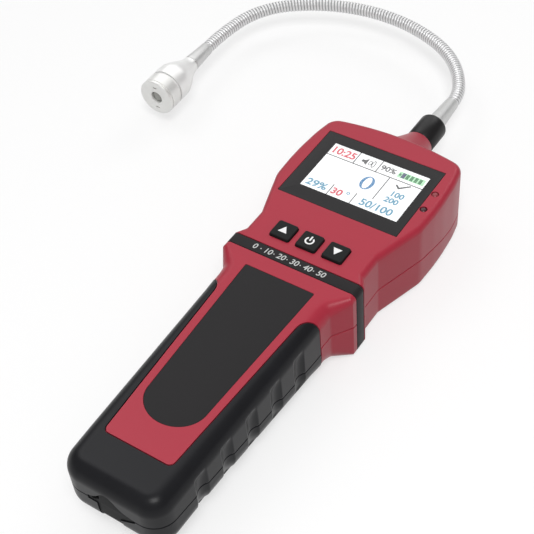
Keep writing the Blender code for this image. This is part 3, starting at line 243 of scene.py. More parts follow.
def several(*shapes):
    """One set of points and faces from shapes that don't touch."""
    points, faces, start = [], [], 0
    for shape_points, shape_faces in shapes:
        shape_points = np.asarray(shape_points, float).reshape(-1, 3)
        points.append(shape_points)
        faces += [[start + i for i in face] for face in shape_faces]
        start += len(shape_points)
    return np.concatenate(points), faces


print("a ring of 3 x 4 points has", len(grid_faces(3, 4)), "faces")

# %% [markdown]
# ## Finished pieces
# A piece is a mesh with a finish. Smooth shading that keeps sharp edges makes a few faces look
# moulded.

# %% Pieces
def shade(made, sharp):
    """Smooth shading that keeps edges sharper than an angle."""
    made.data.shade_smooth()
    made.data.set_sharp_from_angle(angle=np.radians(sharp))


def piece(name, points, faces, slot, finish, body="body", stands_for=(), sharp=35.0):
    """A finished piece: mesh, finish, smooth shading, body and the nodes it replaces. The slot is not used.
    """
    made = linked(name, closed_mesh(name, points, faces))
    made.data.materials.append(finish)
    shade(made, sharp)
    if body:
        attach(made, body)
    if stands_for:
        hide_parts(*stands_for)
    print("%-16s %6d faces" % (name, len(made.data.polygons)))
    return made


print("an edge of over 35 degrees stays sharp, unless a piece says otherwise")

# %% [markdown]
# ## Carving
# Openings, wells and joined bosses are Boolean steps with closed shapes. The result is stored as a
# plain mesh, so that no modifier is left. Its volume is printed, because a Boolean step that goes
# wrong leaves far too much or nothing.

# %% Carving
def volume(mesh):
    """Volume of a closed mesh in cubic centimetres."""
    work = bmesh.new()
    work.from_mesh(mesh)
    size = work.calc_volume() * 1e6
    work.free()
    return size


def carve(made, shape, operation="DIFFERENCE"):
    """Cut, join or keep a piece with a closed shape, and store the result as a plain mesh."""
    tool = linked("tool", closed_mesh("tool", *shape))
    step = made.modifiers.new("carve", "BOOLEAN")
    step.operation = operation
    step.object = tool
    graph = bpy.context.evaluated_depsgraph_get()
    result = bpy.data.meshes.new_from_object(made.evaluated_get(graph))
    made.modifiers.remove(step)
    made.data = result
    bpy.data.objects.remove(tool)
    print("%s: %s, %.2f cm3 left" % (made.name, operation.lower(), volume(result)))


print("carving ready")

# %% [markdown]
# ## Outlines
# A moulded part's plan is a polygon with rounded corners, and its rounded edges are the same plan
# moved inwards. The corner, its inward mitre, the outward normal and the radius are kept as arrays,
# so that one formula gives the outline at any inset, even past a corner's own radius.

# %% Rounded outlines
def outline(corners, steps=8):
    """Counter-clockwise outline from (x, y, radius) corners: corner, mitre, normal and radius arrays.

    A corner with a radius becomes steps + 1 points, whose normals turn evenly from the edge before
    to the edge after. The radius is negative at an inward corner.
    """
    corner = np.array([c[:2] for c in corners], float)
    radius = np.array([c[2] for c in corners], float)
    edge = np.roll(corner, -1, 0) - corner
    after = np.stack([edge[:, 1], -edge[:, 0]], 1) / np.linalg.norm(edge, axis=1, keepdims=True)
    before = np.roll(after, 1, 0)
    along = (before * after).sum(1)
    turn = np.arctan2(before[:, 0] * after[:, 1] - before[:, 1] * after[:, 0], along)
    mitre = -(before + after) / (1 + along)[:, None]
    count = np.where(radius > 0, steps + 1, 1)
    which = np.repeat(np.arange(len(corner)), count)
    rank = np.arange(len(which)) - (np.cumsum(count) - count)[which]
    share = np.where(count[which] > 1, rank / steps, 0.5)
    angle = np.arctan2(before[:, 1], before[:, 0])[which] + turn[which] * share
    normal = np.stack([np.cos(angle), np.sin(angle)], 1)
    return corner[which], mitre[which], normal, np.where(turn > 0, radius, -radius)[which]


def moved_in(loop, inset):
    """The outline moved inwards: corner + mitre x (inset + r) + normal x r, r being radius - inset."""
    corner, mitre, normal, radius = loop
    inset = np.broadcast_to(inset, np.broadcast_shapes(np.shape(inset), radius.shape))
    round_corner = np.maximum(radius - inset, np.minimum(radius, 0.2))
    r = np.where(radius > 0, round_corner, np.where(radius < 0, radius - inset, 0.0))
    return corner + mitre * (inset + r)[..., None] + normal * r[..., None]


square = outline([(0, 0, 1), (9, 0, 1), (9, 9, 1), (0, 9, 1)])
print("a square with round corners has", len(square[0]), "points")

# %% [markdown]
# ## Plates
# Films, keys and the flap are plates: one outline at a few levels, each a little further in, so
# that the upper edge is a quarter round.

# %% Plates
def plate(corners, levels, steps=8):
    """Closed plate: the outline at each (inset, height) level, with flat ends."""
    loop = outline(corners, steps)
    rows = []
    for inset, height in levels:
        plan = moved_in(loop, inset)
        rows.append(np.column_stack([plan, np.full(len(plan), height)]))
    count = len(rows[0])
    faces = grid_faces(len(rows), count)
    faces.append(list(range(count)))
    faces.append(list(range((len(rows) - 1) * count, len(rows) * count)))
    return np.concatenate(rows), faces


def rounded_levels(low, high, edge, steps):
    """Levels of a plate with a quarter-round upper edge: inset edge (1 - cos t), t up to 90 degrees."""
    turn = np.linspace(0, np.pi / 2, steps + 1)
    return [(0.0, low)] + [(edge * (1 - np.cos(t)), high - edge * (1 - np.sin(t))) for t in turn]


def rectangle(half_x, half_y, radius, x=0.0, y=0.0):
    """Corners of a rectangle round (x, y), all with one radius."""
    signs = ((-1, -1), (1, -1), (1, 1), (-1, 1))
    return [(x + sx * half_x, y + sy * half_y, radius) for sx, sy in signs]


print("outline of a key has", len(outline(rectangle(5.0, 4.8, 1.1))[0]), "points")

# %% [markdown]
# ## Turned pieces
# The nut, ferrules, probe, lamps and screws are turned: a profile of radius against distance,
# carried round an axis. Poles are closed by a fan of faces round one point.

# %% Surfaces of revolution
def turned(profile, axis, sides=64):
    """Closed solid of revolution from (radius, distance) pairs.

    A point is centre + axis x distance + (side x cos a + over x sin a) x radius. A profile that
    starts and ends at radius 0 closes at its poles, and any other profile closes on itself.
    """
    profile = np.array(profile, float)
    a = np.linspace(0, 2 * np.pi, sides, endpoint=False)[None, :, None]
    centre, direction, side, over = [np.array(v, float) for v in axis]
    poles = profile[0, 0] == 0
    ring = profile[1:-1] if poles else profile
    r, d = ring[:, 0][:, None, None], ring[:, 1][:, None, None]
    points = (centre + direction * d + (side * np.cos(a) + over * np.sin(a)) * r).reshape(-1, 3)
    faces = grid_faces(len(ring), sides, wrap_rows=not poles)
    if poles:
        ends = centre + direction * profile[[0, -1], 1][:, None]
        last = (len(ring) - 1) * sides
        faces += [[len(points), i, (i + 1) % sides] for i in range(sides)]
        faces += [[len(points) + 1, last + i, last + (i + 1) % sides] for i in range(sides)]
        points = np.concatenate([points, ends])
    return points, faces


def arc(radius, distance, size, steps):
    """Quarter round of a profile, round the point (radius, distance), from outwards to along."""
    t = np.linspace(0, np.pi / 2, steps + 1)
    return list(zip(radius + size * np.cos(t), distance + size * np.sin(t)))


SEAM = 18.0
ALONG = ((0, 0, SEAM), (0, 1, 0), (1, 0, 0), (0, 0, 1))


def standing(x, y, z):
    """Upright axis from (x, y, z)."""
    return (x, y, z), (0, 0, 1), (1, 0, 0), (0, 1, 0)


print("axis of the neck fittings", ALONG[0], ALONG[1])

# %% [markdown]
# ## Finishes
# Three effects are shared by many pieces, so each is one node group: the fine grain and faint mottle of
# moulded plastic and rubber, the lines that a lathe leaves, and a painted highlight that makes edges a
# little paler. Each material places a group with its own values and keeps its shader to itself.

# %% Group helpers
def new_group(name, inputs, outputs):
    """Empty node group with inputs (name, type, default) and outputs (name, type)."""
    group = bpy.data.node_groups.new(name, "ShaderNodeTree")
    for label, kind, value in inputs:
        socket = group.interface.new_socket(label, in_out="INPUT", socket_type="NodeSocket" + kind)
        socket.default_value = value
    for label, kind in outputs:
        group.interface.new_socket(label, in_out="OUTPUT", socket_type="NodeSocket" + kind)
    return group, group.nodes.new("NodeGroupInput").outputs, group.nodes.new("NodeGroupOutput")


def swing(tree, noise, amount, middle):
    """A noise of 0 to 1 swung about a middle: middle + (noise - 0.5) x amount."""
    away = maths(tree, "SUBTRACT", noise, 0.5)
    return maths(tree, "ADD", maths(tree, "MULTIPLY", away, amount), middle)


def scaled(tree, colour, factor):
    """Colour times a factor."""
    return add(tree, "VectorMath", {0: colour, "Scale": factor}, operation="SCALE").outputs["Vector"]


COLOUR, ROUGHNESS, HEIGHT = ("Colour", "Color"), ("Roughness", "Float"), ("Height", "Float")
print("group helpers ready")

# %% [markdown]
# ## Moulded plastic and rubber
# A moulded face is never quite even: its colour and gloss drift slowly, and the tool's fine grain
# catches the light. Two noises in the piece's own coordinates give both, without an image.

# %% Moulded surface
def moulded_group():
    """Colour, roughness and height of a moulded skin: a slow mottle and half as much fine grain."""
    group, take, give = new_group(
        "moulded_surface",
        ((*COLOUR, (0.5, 0.5, 0.5, 1)), ("Mottle", "Float", 0.1), ("Patches", "Float", 90.0),
         (*ROUGHNESS, 0.4), ("Spread", "Float", 0.05), ("Grain", "Float", 2500.0)),
        (COLOUR, ROUGHNESS, HEIGHT))
    where = add(group, "TexCoord", {}).outputs["Object"]
    slow = add(group, "TexNoise", {"Vector": where, "Scale": take["Patches"], "Detail": 4.0,
                                   "Roughness": 0.6}).outputs["Fac"]
    fine = add(group, "TexNoise", {"Vector": where, "Scale": take["Grain"], "Detail": 2.0,
                                   "Roughness": 0.5}).outputs["Fac"]
    mottled = swing(group, slow, take["Mottle"], 1.0)
    grainy = swing(group, fine, maths(group, "MULTIPLY", take["Mottle"], 0.5), mottled)
    fill(group, give, {"Colour": scaled(group, take["Colour"], grainy), "Height": fine,
                       "Roughness": swing(group, slow, take["Spread"], take["Roughness"])})
    return group


MOULDED = moulded_group()
print(MOULDED.name, len(MOULDED.nodes), "nodes")

# %% [markdown]
# ## Turned and drawn metal
# A lathe leaves fine rings round the axis, so the rings are a noise along V of the piece's own map.
# Slow stains come from its place in space. Painted shade darkens it where the map's U is 1, as between the
# ribs.

# %% Turned surface
def turned_group():
    """Colour, roughness and height of turned metal: fine rings along V, stains, and painted shade where U
    is 1.
    """
    group, take, give = new_group(
        "turned_surface",
        ((*COLOUR, (0.8, 0.8, 0.8, 1)), (*ROUGHNESS, 0.25), ("Spread", "Float", 0.1),
         ("Lines", "Float", 6.0), ("Stain", "Float", 0.1)),
        (COLOUR, ROUGHNESS, HEIGHT))
    place = add(group, "TexCoord", {}).outputs
    apart = add(group, "SeparateXYZ", {0: place["UV"]}).outputs
    rings = add(group, "CombineXYZ", {"X": 0.0, "Y": apart["Y"], "Z": 0.0}).outputs[0]
    lines = add(group, "TexNoise", {"Vector": rings, "Scale": take["Lines"], "Detail": 3.0,
                                    "Roughness": 0.7}).outputs["Fac"]
    slow = add(group, "TexNoise", {"Vector": place["Object"], "Scale": 160.0, "Detail": 3.0})
    # Painted shade: the colour falls to 0.15 of itself where U is 1.
    unshaded_share = maths(group, "SUBTRACT", 1.0, maths(group, "MULTIPLY", apart["X"], 0.85))
    bright = maths(group, "MULTIPLY", swing(group, slow.outputs["Fac"], take["Stain"], 1.0), unshaded_share)
    fill(group, give, {"Colour": scaled(group, take["Colour"], bright), "Height": lines,
                       "Roughness": swing(group, lines, take["Spread"], take["Roughness"])})
    return group


TURNED = turned_group()
print(TURNED.name, len(TURNED.nodes), "nodes")

# %% [markdown]
# ## Painted edge highlight
# A key's edges are made paler with a painted highlight. The mesh's own pointiness tells where an edge
# stands out, and a mask made from it mixes a second colour and roughness in.

# %% Painted edge highlight
def edge_group():
    """Colour and roughness of a painted highlight on edges: a mask from pointiness mixes two of each."""
    group, take, give = new_group(
        "painted_edge_highlight",
        ((*COLOUR, (0.1, 0.1, 0.1, 1)), ("Edge Colour", "Color", (0.2, 0.2, 0.2, 1)),
         (*ROUGHNESS, 0.4), ("Edge Roughness", "Float", 0.3), ("Amount", "Float", 0.6)),
        (COLOUR, ROUGHNESS))
    point = add(group, "NewGeometry", {}).outputs["Pointiness"]
    sharp = add(group, "MapRange", {0: point, 1: 0.52, 2: 0.62, 3: 0.0, 4: 1.0}).outputs[0]
    mask = maths(group, "MULTIPLY", sharp, take["Amount"])
    tone = add(group, "Mix", {"Factor": mask, 6: take["Colour"], 7: take["Edge Colour"]},
               data_type="RGBA")
    rough = add(group, "Mix", {"Factor": mask, "A": take["Roughness"], "B": take["Edge Roughness"]})
    fill(group, give, {"Colour": tone.outputs[2], "Roughness": rough.outputs[0]})
    return group


EDGE_HIGHLIGHT = edge_group()
print(EDGE_HIGHLIGHT.name, len(EDGE_HIGHLIGHT.nodes), "nodes")

# %% [markdown]
# ## Materials from the groups
# A plastic or rubber is the moulded group, with a painted highlight on its edges where one is asked for. A
# metal is the turned group. Numbers that are the same all over, such as the index of refraction or the
# specular level, are set on the shader itself.

# %% Material makers
def finish(name, group, inputs, bump=0.0, rubbed=None, **constants):
    """Principled material fed by a surface group, with a bump of so many millimetres."""
    made, tree, shader = new_material(name)
    surface = add(tree, "Group", inputs, node_tree=group).outputs
    seen = surface
    # A painted highlight makes the edges paler where one is asked for.
    if rubbed:
        seen = add(tree, "Group", {"Colour": surface["Colour"], "Roughness": surface["Roughness"],
                                   **rubbed}, node_tree=EDGE_HIGHLIGHT).outputs
    fill(tree, shader, {"Base Color": seen["Colour"], "Roughness": seen["Roughness"]})
    fill(tree, shader, {key.replace("_", " "): value for key, value in constants.items()})
    if bump:
        raised = add(tree, "Bump", {"Strength": 1.0, "Distance": bump * MM,
                                    "Height": surface["Height"]})
        fill(tree, shader, {"Normal": raised.outputs[0]})
    return made


def plastic(name, colour, roughness, mottle=0.1, grain=2500.0, bump=0.004, **more):
    """Moulded plastic or rubber."""
    return finish(name, MOULDED, {"Colour": (*colour, 1), "Roughness": roughness, "Mottle": mottle,
                                  "Grain": grain}, bump, **more)


def metal(name, colour, roughness, spread=0.12, lines=6.0, stain=0.1, metallic=1.0):
    """Turned or drawn metal."""
    return finish(name, TURNED, {"Colour": (*colour, 1), "Roughness": roughness, "Spread": spread,
                                 "Lines": lines, "Stain": stain}, Metallic=metallic)


def glowing(name, colour, strength=1.0):
    """Lit print of the display: a faint pixel pattern varies its light."""
    made, tree, shader = new_material(name)
    surface = add(tree, "Group", {"Colour": (*colour, 1), "Mottle": 0.05, "Patches": 300.0,
                                  "Grain": 6000.0, "Roughness": 0.3}, node_tree=MOULDED).outputs
    fill(tree, shader, {"Emission Color": surface["Colour"], "Roughness": surface["Roughness"],
                        "Base Color": (0.01, 0.01, 0.01, 1), "Emission Strength": strength})
    return made


def srgb(r, g, b):
    """Linear colour from 0-255 screen values: (v / 255) to the power 2.2."""
    return tuple((v / 255) ** 2.2 for v in (r, g, b))


print("lit red in linear light", [round(v, 3) for v in srgb(214, 52, 74)])

# %% [markdown]
# ## The palette
# Each colour was chosen so that the lit piece renders as the photograph shows it. The blacks differ
# by a little: rubber has a soft shine, and print and film have almost none. The probe and the neck
# are half metallic, which stands for a fine matt plating that scatters as much as it mirrors.

# %% Palette
DULL = {"Specular_IOR_Level": 0.1}
RED = plastic("red_plastic", (0.385, 0.026, 0.048), 0.34, mottle=0.06, bump=0.003,
              Specular_IOR_Level=0.28)
GRIP = plastic("black_rubber", (0.0130, 0.0131, 0.0150), 0.32, mottle=0.25, grain=3500.0, bump=0.006,
               Specular_IOR_Level=0.14)
BAND_BLACK = plastic("band_black", (0.022, 0.020, 0.021), 0.45, mottle=0.15, **DULL)
LABEL = plastic("label_grey", (0.023, 0.022, 0.023), 0.5, grain=5000.0, bump=0.002, **DULL)
BORDER = plastic("window_dark", (0.028, 0.027, 0.028), 0.3, mottle=0.05, bump=0.0, **DULL)
# The keys' edges are paler with a painted highlight.
KEYS = plastic("key_rubber", (0.014, 0.015, 0.015), 0.5, mottle=0.5, bump=0.006, **DULL,
               rubbed={"Edge Colour": (0.04, 0.04, 0.04, 1), "Amount": 0.3})
FLAP = plastic("flap_rubber", (0.018, 0.0185, 0.019), 0.6, mottle=0.25, bump=0.006, **DULL)
NUT = plastic("nut_black", (0.012, 0.0115, 0.012), 0.36, mottle=0.15, Specular_IOR_Level=0.3)
PAINT = plastic("white_print", (0.88, 0.88, 0.88), 0.5, mottle=0.06, bump=0.0)
SILVER = plastic("silver_print", (0.55, 0.56, 0.55), 0.4, mottle=0.2, bump=0.0)
NICKEL = metal("nickel", (0.66, 0.66, 0.655), 0.42, stain=0.2, metallic=0.6)
CHROME = metal("neck_chrome", (0.82, 0.82, 0.825), 0.46, spread=0.06, metallic=0.55)
PROBE = metal("probe_silver", (0.93, 0.93, 0.92), 0.38, lines=3.0, stain=0.06, metallic=0.45)
PROBE_END = metal("probe_end", (0.86, 0.86, 0.84), 0.36, lines=3.0, metallic=0.45)
SCREWS = metal("screw_steel", (0.42, 0.42, 0.43), 0.34)
MESH = metal("mesh_steel", (0.30, 0.30, 0.285), 0.5, stain=1.1)
SEAL = plastic("seal_rubber", (0.86, 0.86, 0.85), 0.5, mottle=0.2)
LAMP_RED = plastic("lamp_red", (0.26, 0.035, 0.045), 0.35, bump=0.0)
LAMP_DARK = plastic("lamp_dark", (0.05, 0.010, 0.015), 0.30, bump=0.0)
print("materials", len(bpy.data.materials))

# %% [markdown]
# ## The casing's plan
# The two shells and the two grip halves share one plan: a crowned head, cheeks that taper to a
# waist, a collar and a handle that narrows a little. On the real part each corner is softly rounded,
# so each gets a radius. The list holds the right half, and the left half mirrors it.

# %% Casing outline
FACE, GAP, WALL = 38.0, 0.3, 2.4
END_Y, END_X, END_CORNER = -186.8, 24.6, 10.0
TOP_Y, CROWN = 41.5, 146.0
COLLAR, HANDLE_TOP = (33.5, -50.2, -60.0), (27.6, -69.0)
HEAD_SIDE = ((30.5, -45.5, 2.0), (30.5, -33.5, 4.0), (35.4, -18.0, 6.0), (38.3, -8.6, 14.0),
             (38.8, 3.0, 60.0), (38.7, 12.0, 80.0), (37.7, 25.0, 60.0))
HEAD_CORNER, HEAD_CORNER_RADIUS = 35.4, 7.5
GRIP_TOP, FLUTED_Y = -76.5, (-84.0, -166.8)


def crown_y(x):
    """The crown's height: its top less x squared over twice its radius."""
    return TOP_Y - x * x / (2 * CROWN)


def casing_outline(fluted=False, steps=8):
    """The casing's plan from the handle's end up the right side, over the crown and down the left."""
    crown = [(x, crown_y(x), 0) for x in np.linspace(29.3, 2.0, 10)]
    stations = np.linspace(*FLUTED_Y, 260) if fluted else np.array([FLUTED_Y[1], -73.0])
    slope = (HANDLE_TOP[0] - END_X) / (HANDLE_TOP[1] - END_Y)
    side = HANDLE_TOP[0] + (stations - HANDLE_TOP[1]) * slope
    handle = sorted(zip(side, stations, np.zeros(len(side))), key=lambda corner: corner[1])
    right = [(END_X, END_Y, END_CORNER), *handle, (*HANDLE_TOP, 3.0),
             (COLLAR[0], COLLAR[2], 0.4), (COLLAR[0], COLLAR[1], 0.9), *HEAD_SIDE,
             (HEAD_CORNER, crown_y(HEAD_CORNER), HEAD_CORNER_RADIUS), *crown]
    left = [(-x, y, r) for x, y, r in right[::-1]]
    return outline([(0.0, END_Y, 0)] + right + [(0.0, TOP_Y, 0)] + left, steps)


fine, plain = casing_outline(steps=10), casing_outline(steps=4)
print("casing outline", len(fine[0]), "points, or", len(plain[0]), "for what is hidden")

# %% [markdown]
# ## What changes along the casing
# A moulder's drawing gives heights, walls and roundings at a few stations and draws straight lines
# between them. Each is a function of y here, so that a surface can ask for its height or rounding
# at any point: first the back and the rounded edges.

# %% Stations along the casing
SEAM_LIFT = GAP / 2
UPPER, LOWER = SEAM + SEAM_LIFT, SEAM - SEAM_LIFT
FRONT_EDGES, BACK_EDGES = (3.0, 7.5), (3.0, 12.2)
HANDLE_EDGES_FROM, END_ZONE = -73.0, END_Y + 20.0


def along(y, *stations):
    """Piecewise straight value along the casing from (y, value) stations."""
    place, value = zip(*sorted(stations))
    return np.interp(y, place, value)


def level(value):
    """The same value at every y."""
    return lambda y: value + 0 * y


def back_z(y):
    """Height of the back: flat under the head, and rising to the handle's end."""
    return along(y, (-58.0, 0.0), (END_Y, 7.8))


def over_back(depth):
    """Height of a surface so far inside the back."""
    return lambda y: back_z(y) + depth


def edge_radius(y, inset, head, handle, room):
    """Edge rounding: the head's, then the handle's past the flare, within the end's corners."""
    full = along(y, (COLLAR[2], head), (HANDLE_EDGES_FROM, handle))
    near_end = y < END_ZONE
    corner = np.where(near_end, along(y, (END_ZONE, handle), (END_Y + 10.0, END_CORNER)), handle)
    corner = corner - np.where(near_end, along(y, (END_ZONE, 0.0), (END_Y + 10.0, 1.0)), 0) * inset
    return np.minimum(np.minimum(full - np.minimum(inset, 2.0), room - GAP), corner - GAP)


print("back at the handle's end %.1f mm" % back_z(END_Y))

# %% [markdown]
# ## Parting lines and walls
# The shells' parting line sinks along the head, and the grips' line climbs along the handle as the
# back does. The wall is thicker where the grip and the collar lie over it.

# %% Parting lines and walls
def shell_seam(y):
    """Height of the line where the red shells meet. Past the head it clears the neck's bell."""
    return along(y, (40.2, SEAM), (38.6, 10.0), (20.0, 10.3), (10.0, 13.0), (0.0, 15.4),
                 (-10.0, 17.2), (-45.0, 17.0), (COLLAR[2], 20.0))


def grip_seam(y):
    """Height of the line where the grip halves meet."""
    return along(y, (GRIP_TOP, 15.8), (END_Y, 23.7))


def under_grip(y):
    """Inset of the red core that the grips cover."""
    return along(y, (END_Y + END_CORNER, 2.0), (END_Y, 4.0))


def cavity(y):
    """Inset of the hollow inside: the wall, and the grip's and the collar's share."""
    return along(y, (-43.5, WALL), (COLLAR[1], WALL + 1.5), (COLLAR[2], WALL + 1.5),
                 (HANDLE_TOP[1], WALL + 2.0), (END_Y + END_CORNER, WALL + 2.0), (END_Y, WALL + 4.0))


def floor_thickness(y):
    """Thickness of the front and of the back."""
    return along(y, (COLLAR[2], WALL), (HANDLE_TOP[1], WALL + 2.0))


print("grips' line from %.1f to %.1f mm" % (grip_seam(GRIP_TOP), grip_seam(END_Y)))

# %% [markdown]
# ## Skins
# A skin is the plan carried up from the parting plane and over a rounded edge to the face. Its flat
# ends are ladders of strips between the left and the right side, because the back slopes along the
# handle and a single face there would not be flat.

# %% Skin of one half of the casing
def skin(loop, levels):
    """Closed solid: at each level the plan moved in by inset(y), at height(y)."""
    y = moved_in(loop, 0.0)[:, 1]
    rows = [np.column_stack([moved_in(loop, inset(y)), height(y) + 0 * y]) for inset, height in levels]
    count = len(y)
    faces = grid_faces(len(rows), count)
    for start in (0, (len(rows) - 1) * count):
        faces += [[start + i, start + i + 1, start + count - i - 1, start + count - i]
                  for i in range(2, count // 2 - 2)]
        top = start + count // 2
        faces.append([start + count - 2, start + count - 1, start, start + 1, start + 2])
        faces.append([top - 2, top - 1, top, top + 1, top + 2])
    return np.concatenate(rows), faces


print("plain plan as a slab:", len(skin(plain, [(level(0), level(0)), (level(0), level(1))])[1]), "faces")

# %% [markdown]
# ## Levels of a half
# Both shells, both grips, their cores and the flap's face are skins of one kind. Only the inset, the
# parting line, the face and the roundings differ, so one function lists the levels for all of them.
# A softened rim draws the fine line where two halves meet.

# %% Levels of one half
def half_levels(inset, rim, face, sign, radii, steps=3, rows=0, soften=0.0, extra=None):
    """Levels of one half: the rim, straight rows, then the rounded edge in steps of its quarter turn.

    The inset, rim and face are functions of y, sign is 1 upwards and -1 downwards, and radii are
    the head's and the handle's rounding. Extra is a depth added to the inset at each y and height.
    """
    def radius(y):
        return edge_radius(y, inset(y), *radii, sign * (face(y) - SEAM) - soften)

    def straight(share):
        def height(y):
            start = rim(y) + sign * soften
            return start + (face(y) - sign * radius(y) - start) * share
        return height

    def quarter(turn):
        return (lambda y: inset(y) + radius(y) * (1 - np.cos(turn)),
                lambda y: face(y) - sign * radius(y) * (1 - np.sin(turn)))

    levels = [(lambda y: inset(y) + soften, rim)]
    levels += [(inset, straight(k / (rows + 1))) for k in range(rows + 1)] if soften else []
    levels += [quarter(turn) for turn in np.linspace(0, np.pi / 2, steps + 1)]
    if soften:
        levels.append((lambda y: inset(y) + radius(y) + 0.4, face))
    if extra:
        levels = [((lambda y, a=a, b=b: a(y) + extra(y, b(y))), b) for a, b in levels]
    return levels


def hollow(start, sign, floor_z):
    """The room inside one half, from a height inside it to the floor, with a small bevel there."""
    return skin(plain, [(cavity, level(start)), (cavity, lambda y: floor_z(y) - sign),
                        (lambda y: cavity(y) + 1.0, floor_z)])


print("front skin", len(skin(fine, half_levels(level(0), level(UPPER), level(FACE), 1, FRONT_EDGES))[0]))

# %% [markdown]
# ## Cutters
# The openings come from the same plans as the pieces that fill them, one clearance wider. A cutter
# is a closed prism, so that a Boolean step leaves a crisp edge as a moulding tool does.

# %% Prisms
def prism(plan_points, low, high):
    """Closed prism over a plan, between two heights."""
    plan_points = np.asarray(plan_points, float)
    count = len(plan_points)
    rows = [np.column_stack([plan_points, np.full(count, z)]) for z in (low, high)]
    return np.concatenate(rows), grid_faces(2, count) + [list(range(count)), list(range(count, 2 * count))]


def rounded_prism(corners, low, high, steps=8, inset=0.0):
    """Prism over a plan with rounded corners."""
    return prism(moved_in(outline(corners, steps), inset), low, high)


def block(x, y, z):
    """Box between pairs of x, y and z."""
    return prism([(x[0], y[0]), (x[1], y[0]), (x[1], y[1]), (x[0], y[1])], *z)


def disc(x, y, radius, low, high, sides=32):
    """Upright round bar."""
    a = np.linspace(0, 2 * np.pi, sides, endpoint=False)
    return prism(np.column_stack([x + radius * np.cos(a), y + radius * np.sin(a)]), low, high)


def swap_yz(shape):
    """A prism drawn in X and Z, turned to run along Y."""
    points, faces = shape
    return points[:, [0, 2, 1]], faces


print("a block has", len(block((0, 1), (0, 1), (0, 1))[1]), "faces")

# %% [markdown]
# ## Where everything sits
# The red panel narrows between the grips. The label tapers to an elliptical end. The charging port
# in the handle's end has a foot, splayed shoulders and a low hill on top. The keys, lamps, window
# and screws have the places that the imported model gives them.

# %% Places and plans
ALL_X, ALL_TOP = 77.6, 119.0
PANEL = [(-ALL_X, ALL_TOP, 0), (-ALL_X, GRIP_TOP, 0), (-21.0, GRIP_TOP, 8.5), (-16.4, -166.0, 2.5),
         (16.4, -166.0, 2.5), (21.0, GRIP_TOP, 8.5), (ALL_X, GRIP_TOP, 0), (ALL_X, ALL_TOP, 0)]
SCREWS_AT = ((29.2, 32.0, 5.0), (-29.2, 32.0, 5.0), (24.3, -42.5, 5.0), (-24.3, -42.5, 5.0),
             (0.0, -80.0, 7.5), (0.0, -162.0, 11.2))
FRONT_POST, REAR_POST, SHELL_WELL, GRIP_WELL, SHANK_HOLE = 3.0, 4.2, 2.9, 3.2, 1.6
KEY_X = {"up": -13.5, "power": 0.0, "down": 13.5}
KEY_Y, KEY_HALF = -40.4, (5.0, 4.8)
LAMPS = {"alarm_lamp": (33.2, 13.5), "status_lamp": (33.2, 2.5)}
WINDOW_HALF, WINDOW_Y = (31.0, 23.25), 4.75
MODULE_HALF, MODULE_Y = (26.6, 17.3), 6.8
PORT_FOOT, PORT_WAIST, PORT_TOP = (4.0, 11.8), 18.4, (23.2, 30.6)


def label_corners(grow=0.0):
    """Straight tapering sides with small upper corners, and an elliptical lower end."""
    top_x, top_y, end_x, end_y, drop = 17.5, -65.0, 14.3, -139.5, 12.5
    turn = np.linspace(-np.pi, 0.0, 41)
    lower = [((end_x + grow) * np.cos(t), end_y + (drop + grow) * np.sin(t), 0) for t in turn]
    return [(-top_x - grow, top_y + grow, 0.8)] + lower + [(top_x + grow, top_y + grow, 0.8)]


def port_plan(reach, grow=0.0, steps=60):
    """Plan of the port in X and Z. Its hill falls off as 1 over 1 + (distance / 5.2) to the 2.6."""
    x = np.linspace(reach, 1.4 - reach, steps + 1)
    hill = 1 / (1 + (np.abs(x + 1.0) / 5.2) ** 2.6)
    top = PORT_TOP[0] + (PORT_TOP[1] - PORT_TOP[0]) * hill + grow
    half, low = PORT_FOOT[0] + grow, PORT_FOOT[1] - grow
    splay = (reach - PORT_FOOT[0]) / (12.2 - PORT_FOOT[0])
    tip = PORT_WAIST + (PORT_TOP[0] - 0.4 - PORT_WAIST) * splay - grow
    right = [(half, low), (half, PORT_WAIST - grow), (reach, tip)]
    edge = -6.3 - 0.5 * grow
    left = [(1.4 - reach, 22.6 - grow), (edge, 22.4 - grow), (edge, low)]
    return right + list(zip(x, top)) + left


port = swap_yz(prism(port_plan(12.2, GAP), END_Y - WALL, END_Y + END_CORNER))
socket_slot = block((-5.2, 5.2), (END_Y - WALL, -178.5), (12.65, 17.35))
bore = turned([(0, TOP_Y - 2 * WALL), (5.8, TOP_Y - 2 * WALL), (5.8, 80.0), (0, 80.0)], ALONG, 40)
print("label plan", len(outline(label_corners())[0]), "points")

# %% [markdown]
# ## The bell and the groove
# Each shell ends in half a bell that holds the neck. It swells steeply where it meets the head, and
# a formula of three terms follows the photograph closer than arcs would. A groove for the black
# band runs round the collar: a closed section is carried round the collar's rounded rectangle.

# %% Bell and hoop
BELL_END = 59.8


def bell(side):
    """Half bell. Its radius is 7.4 at the nut, and 10.2 q^1.12 + 0.9 q^9 more, q from 1 down to 0."""
    s = np.linspace(0, 1, 26)
    q = 1 - s
    radius = (7.4 + 10.2 * q ** 1.12 + 0.9 * q ** 9)[:, None]
    tilt = GAP / 2 / radius
    turn = tilt + (np.pi - 2 * tilt) * np.linspace(0, 1, 49)[None, :]
    y = (TOP_Y - WALL + (BELL_END - TOP_Y + WALL) * s)[:, None] + 0 * turn
    rise = np.minimum(radius * np.sin(turn), SEAM - 0.4)
    points = np.stack([radius * np.cos(turn), y, SEAM + side * rise], -1)
    rows, count = turn.shape
    faces = grid_faces(rows, count) + [list(range(count)), list(range((rows - 1) * count, rows * count))]
    return points.reshape(-1, 3), faces


def collar_hoop(profile):
    """Hoop round the collar: its rounded section at each (inset, y) of a closed profile."""
    width = COLLAR[0]
    section = outline([(-width, 0, 3.0), (width, 0, 3.0), (width, FACE, 3.0), (-width, FACE, 3.0)], 8)
    rows = []
    for inset, y in profile:
        plan_xz = moved_in(section, inset)
        rows.append(np.column_stack([plan_xz[:, 0], np.full(len(plan_xz), y), plan_xz[:, 1]]))
    return np.concatenate(rows), grid_faces(len(rows), len(rows[0]), wrap_rows=True)


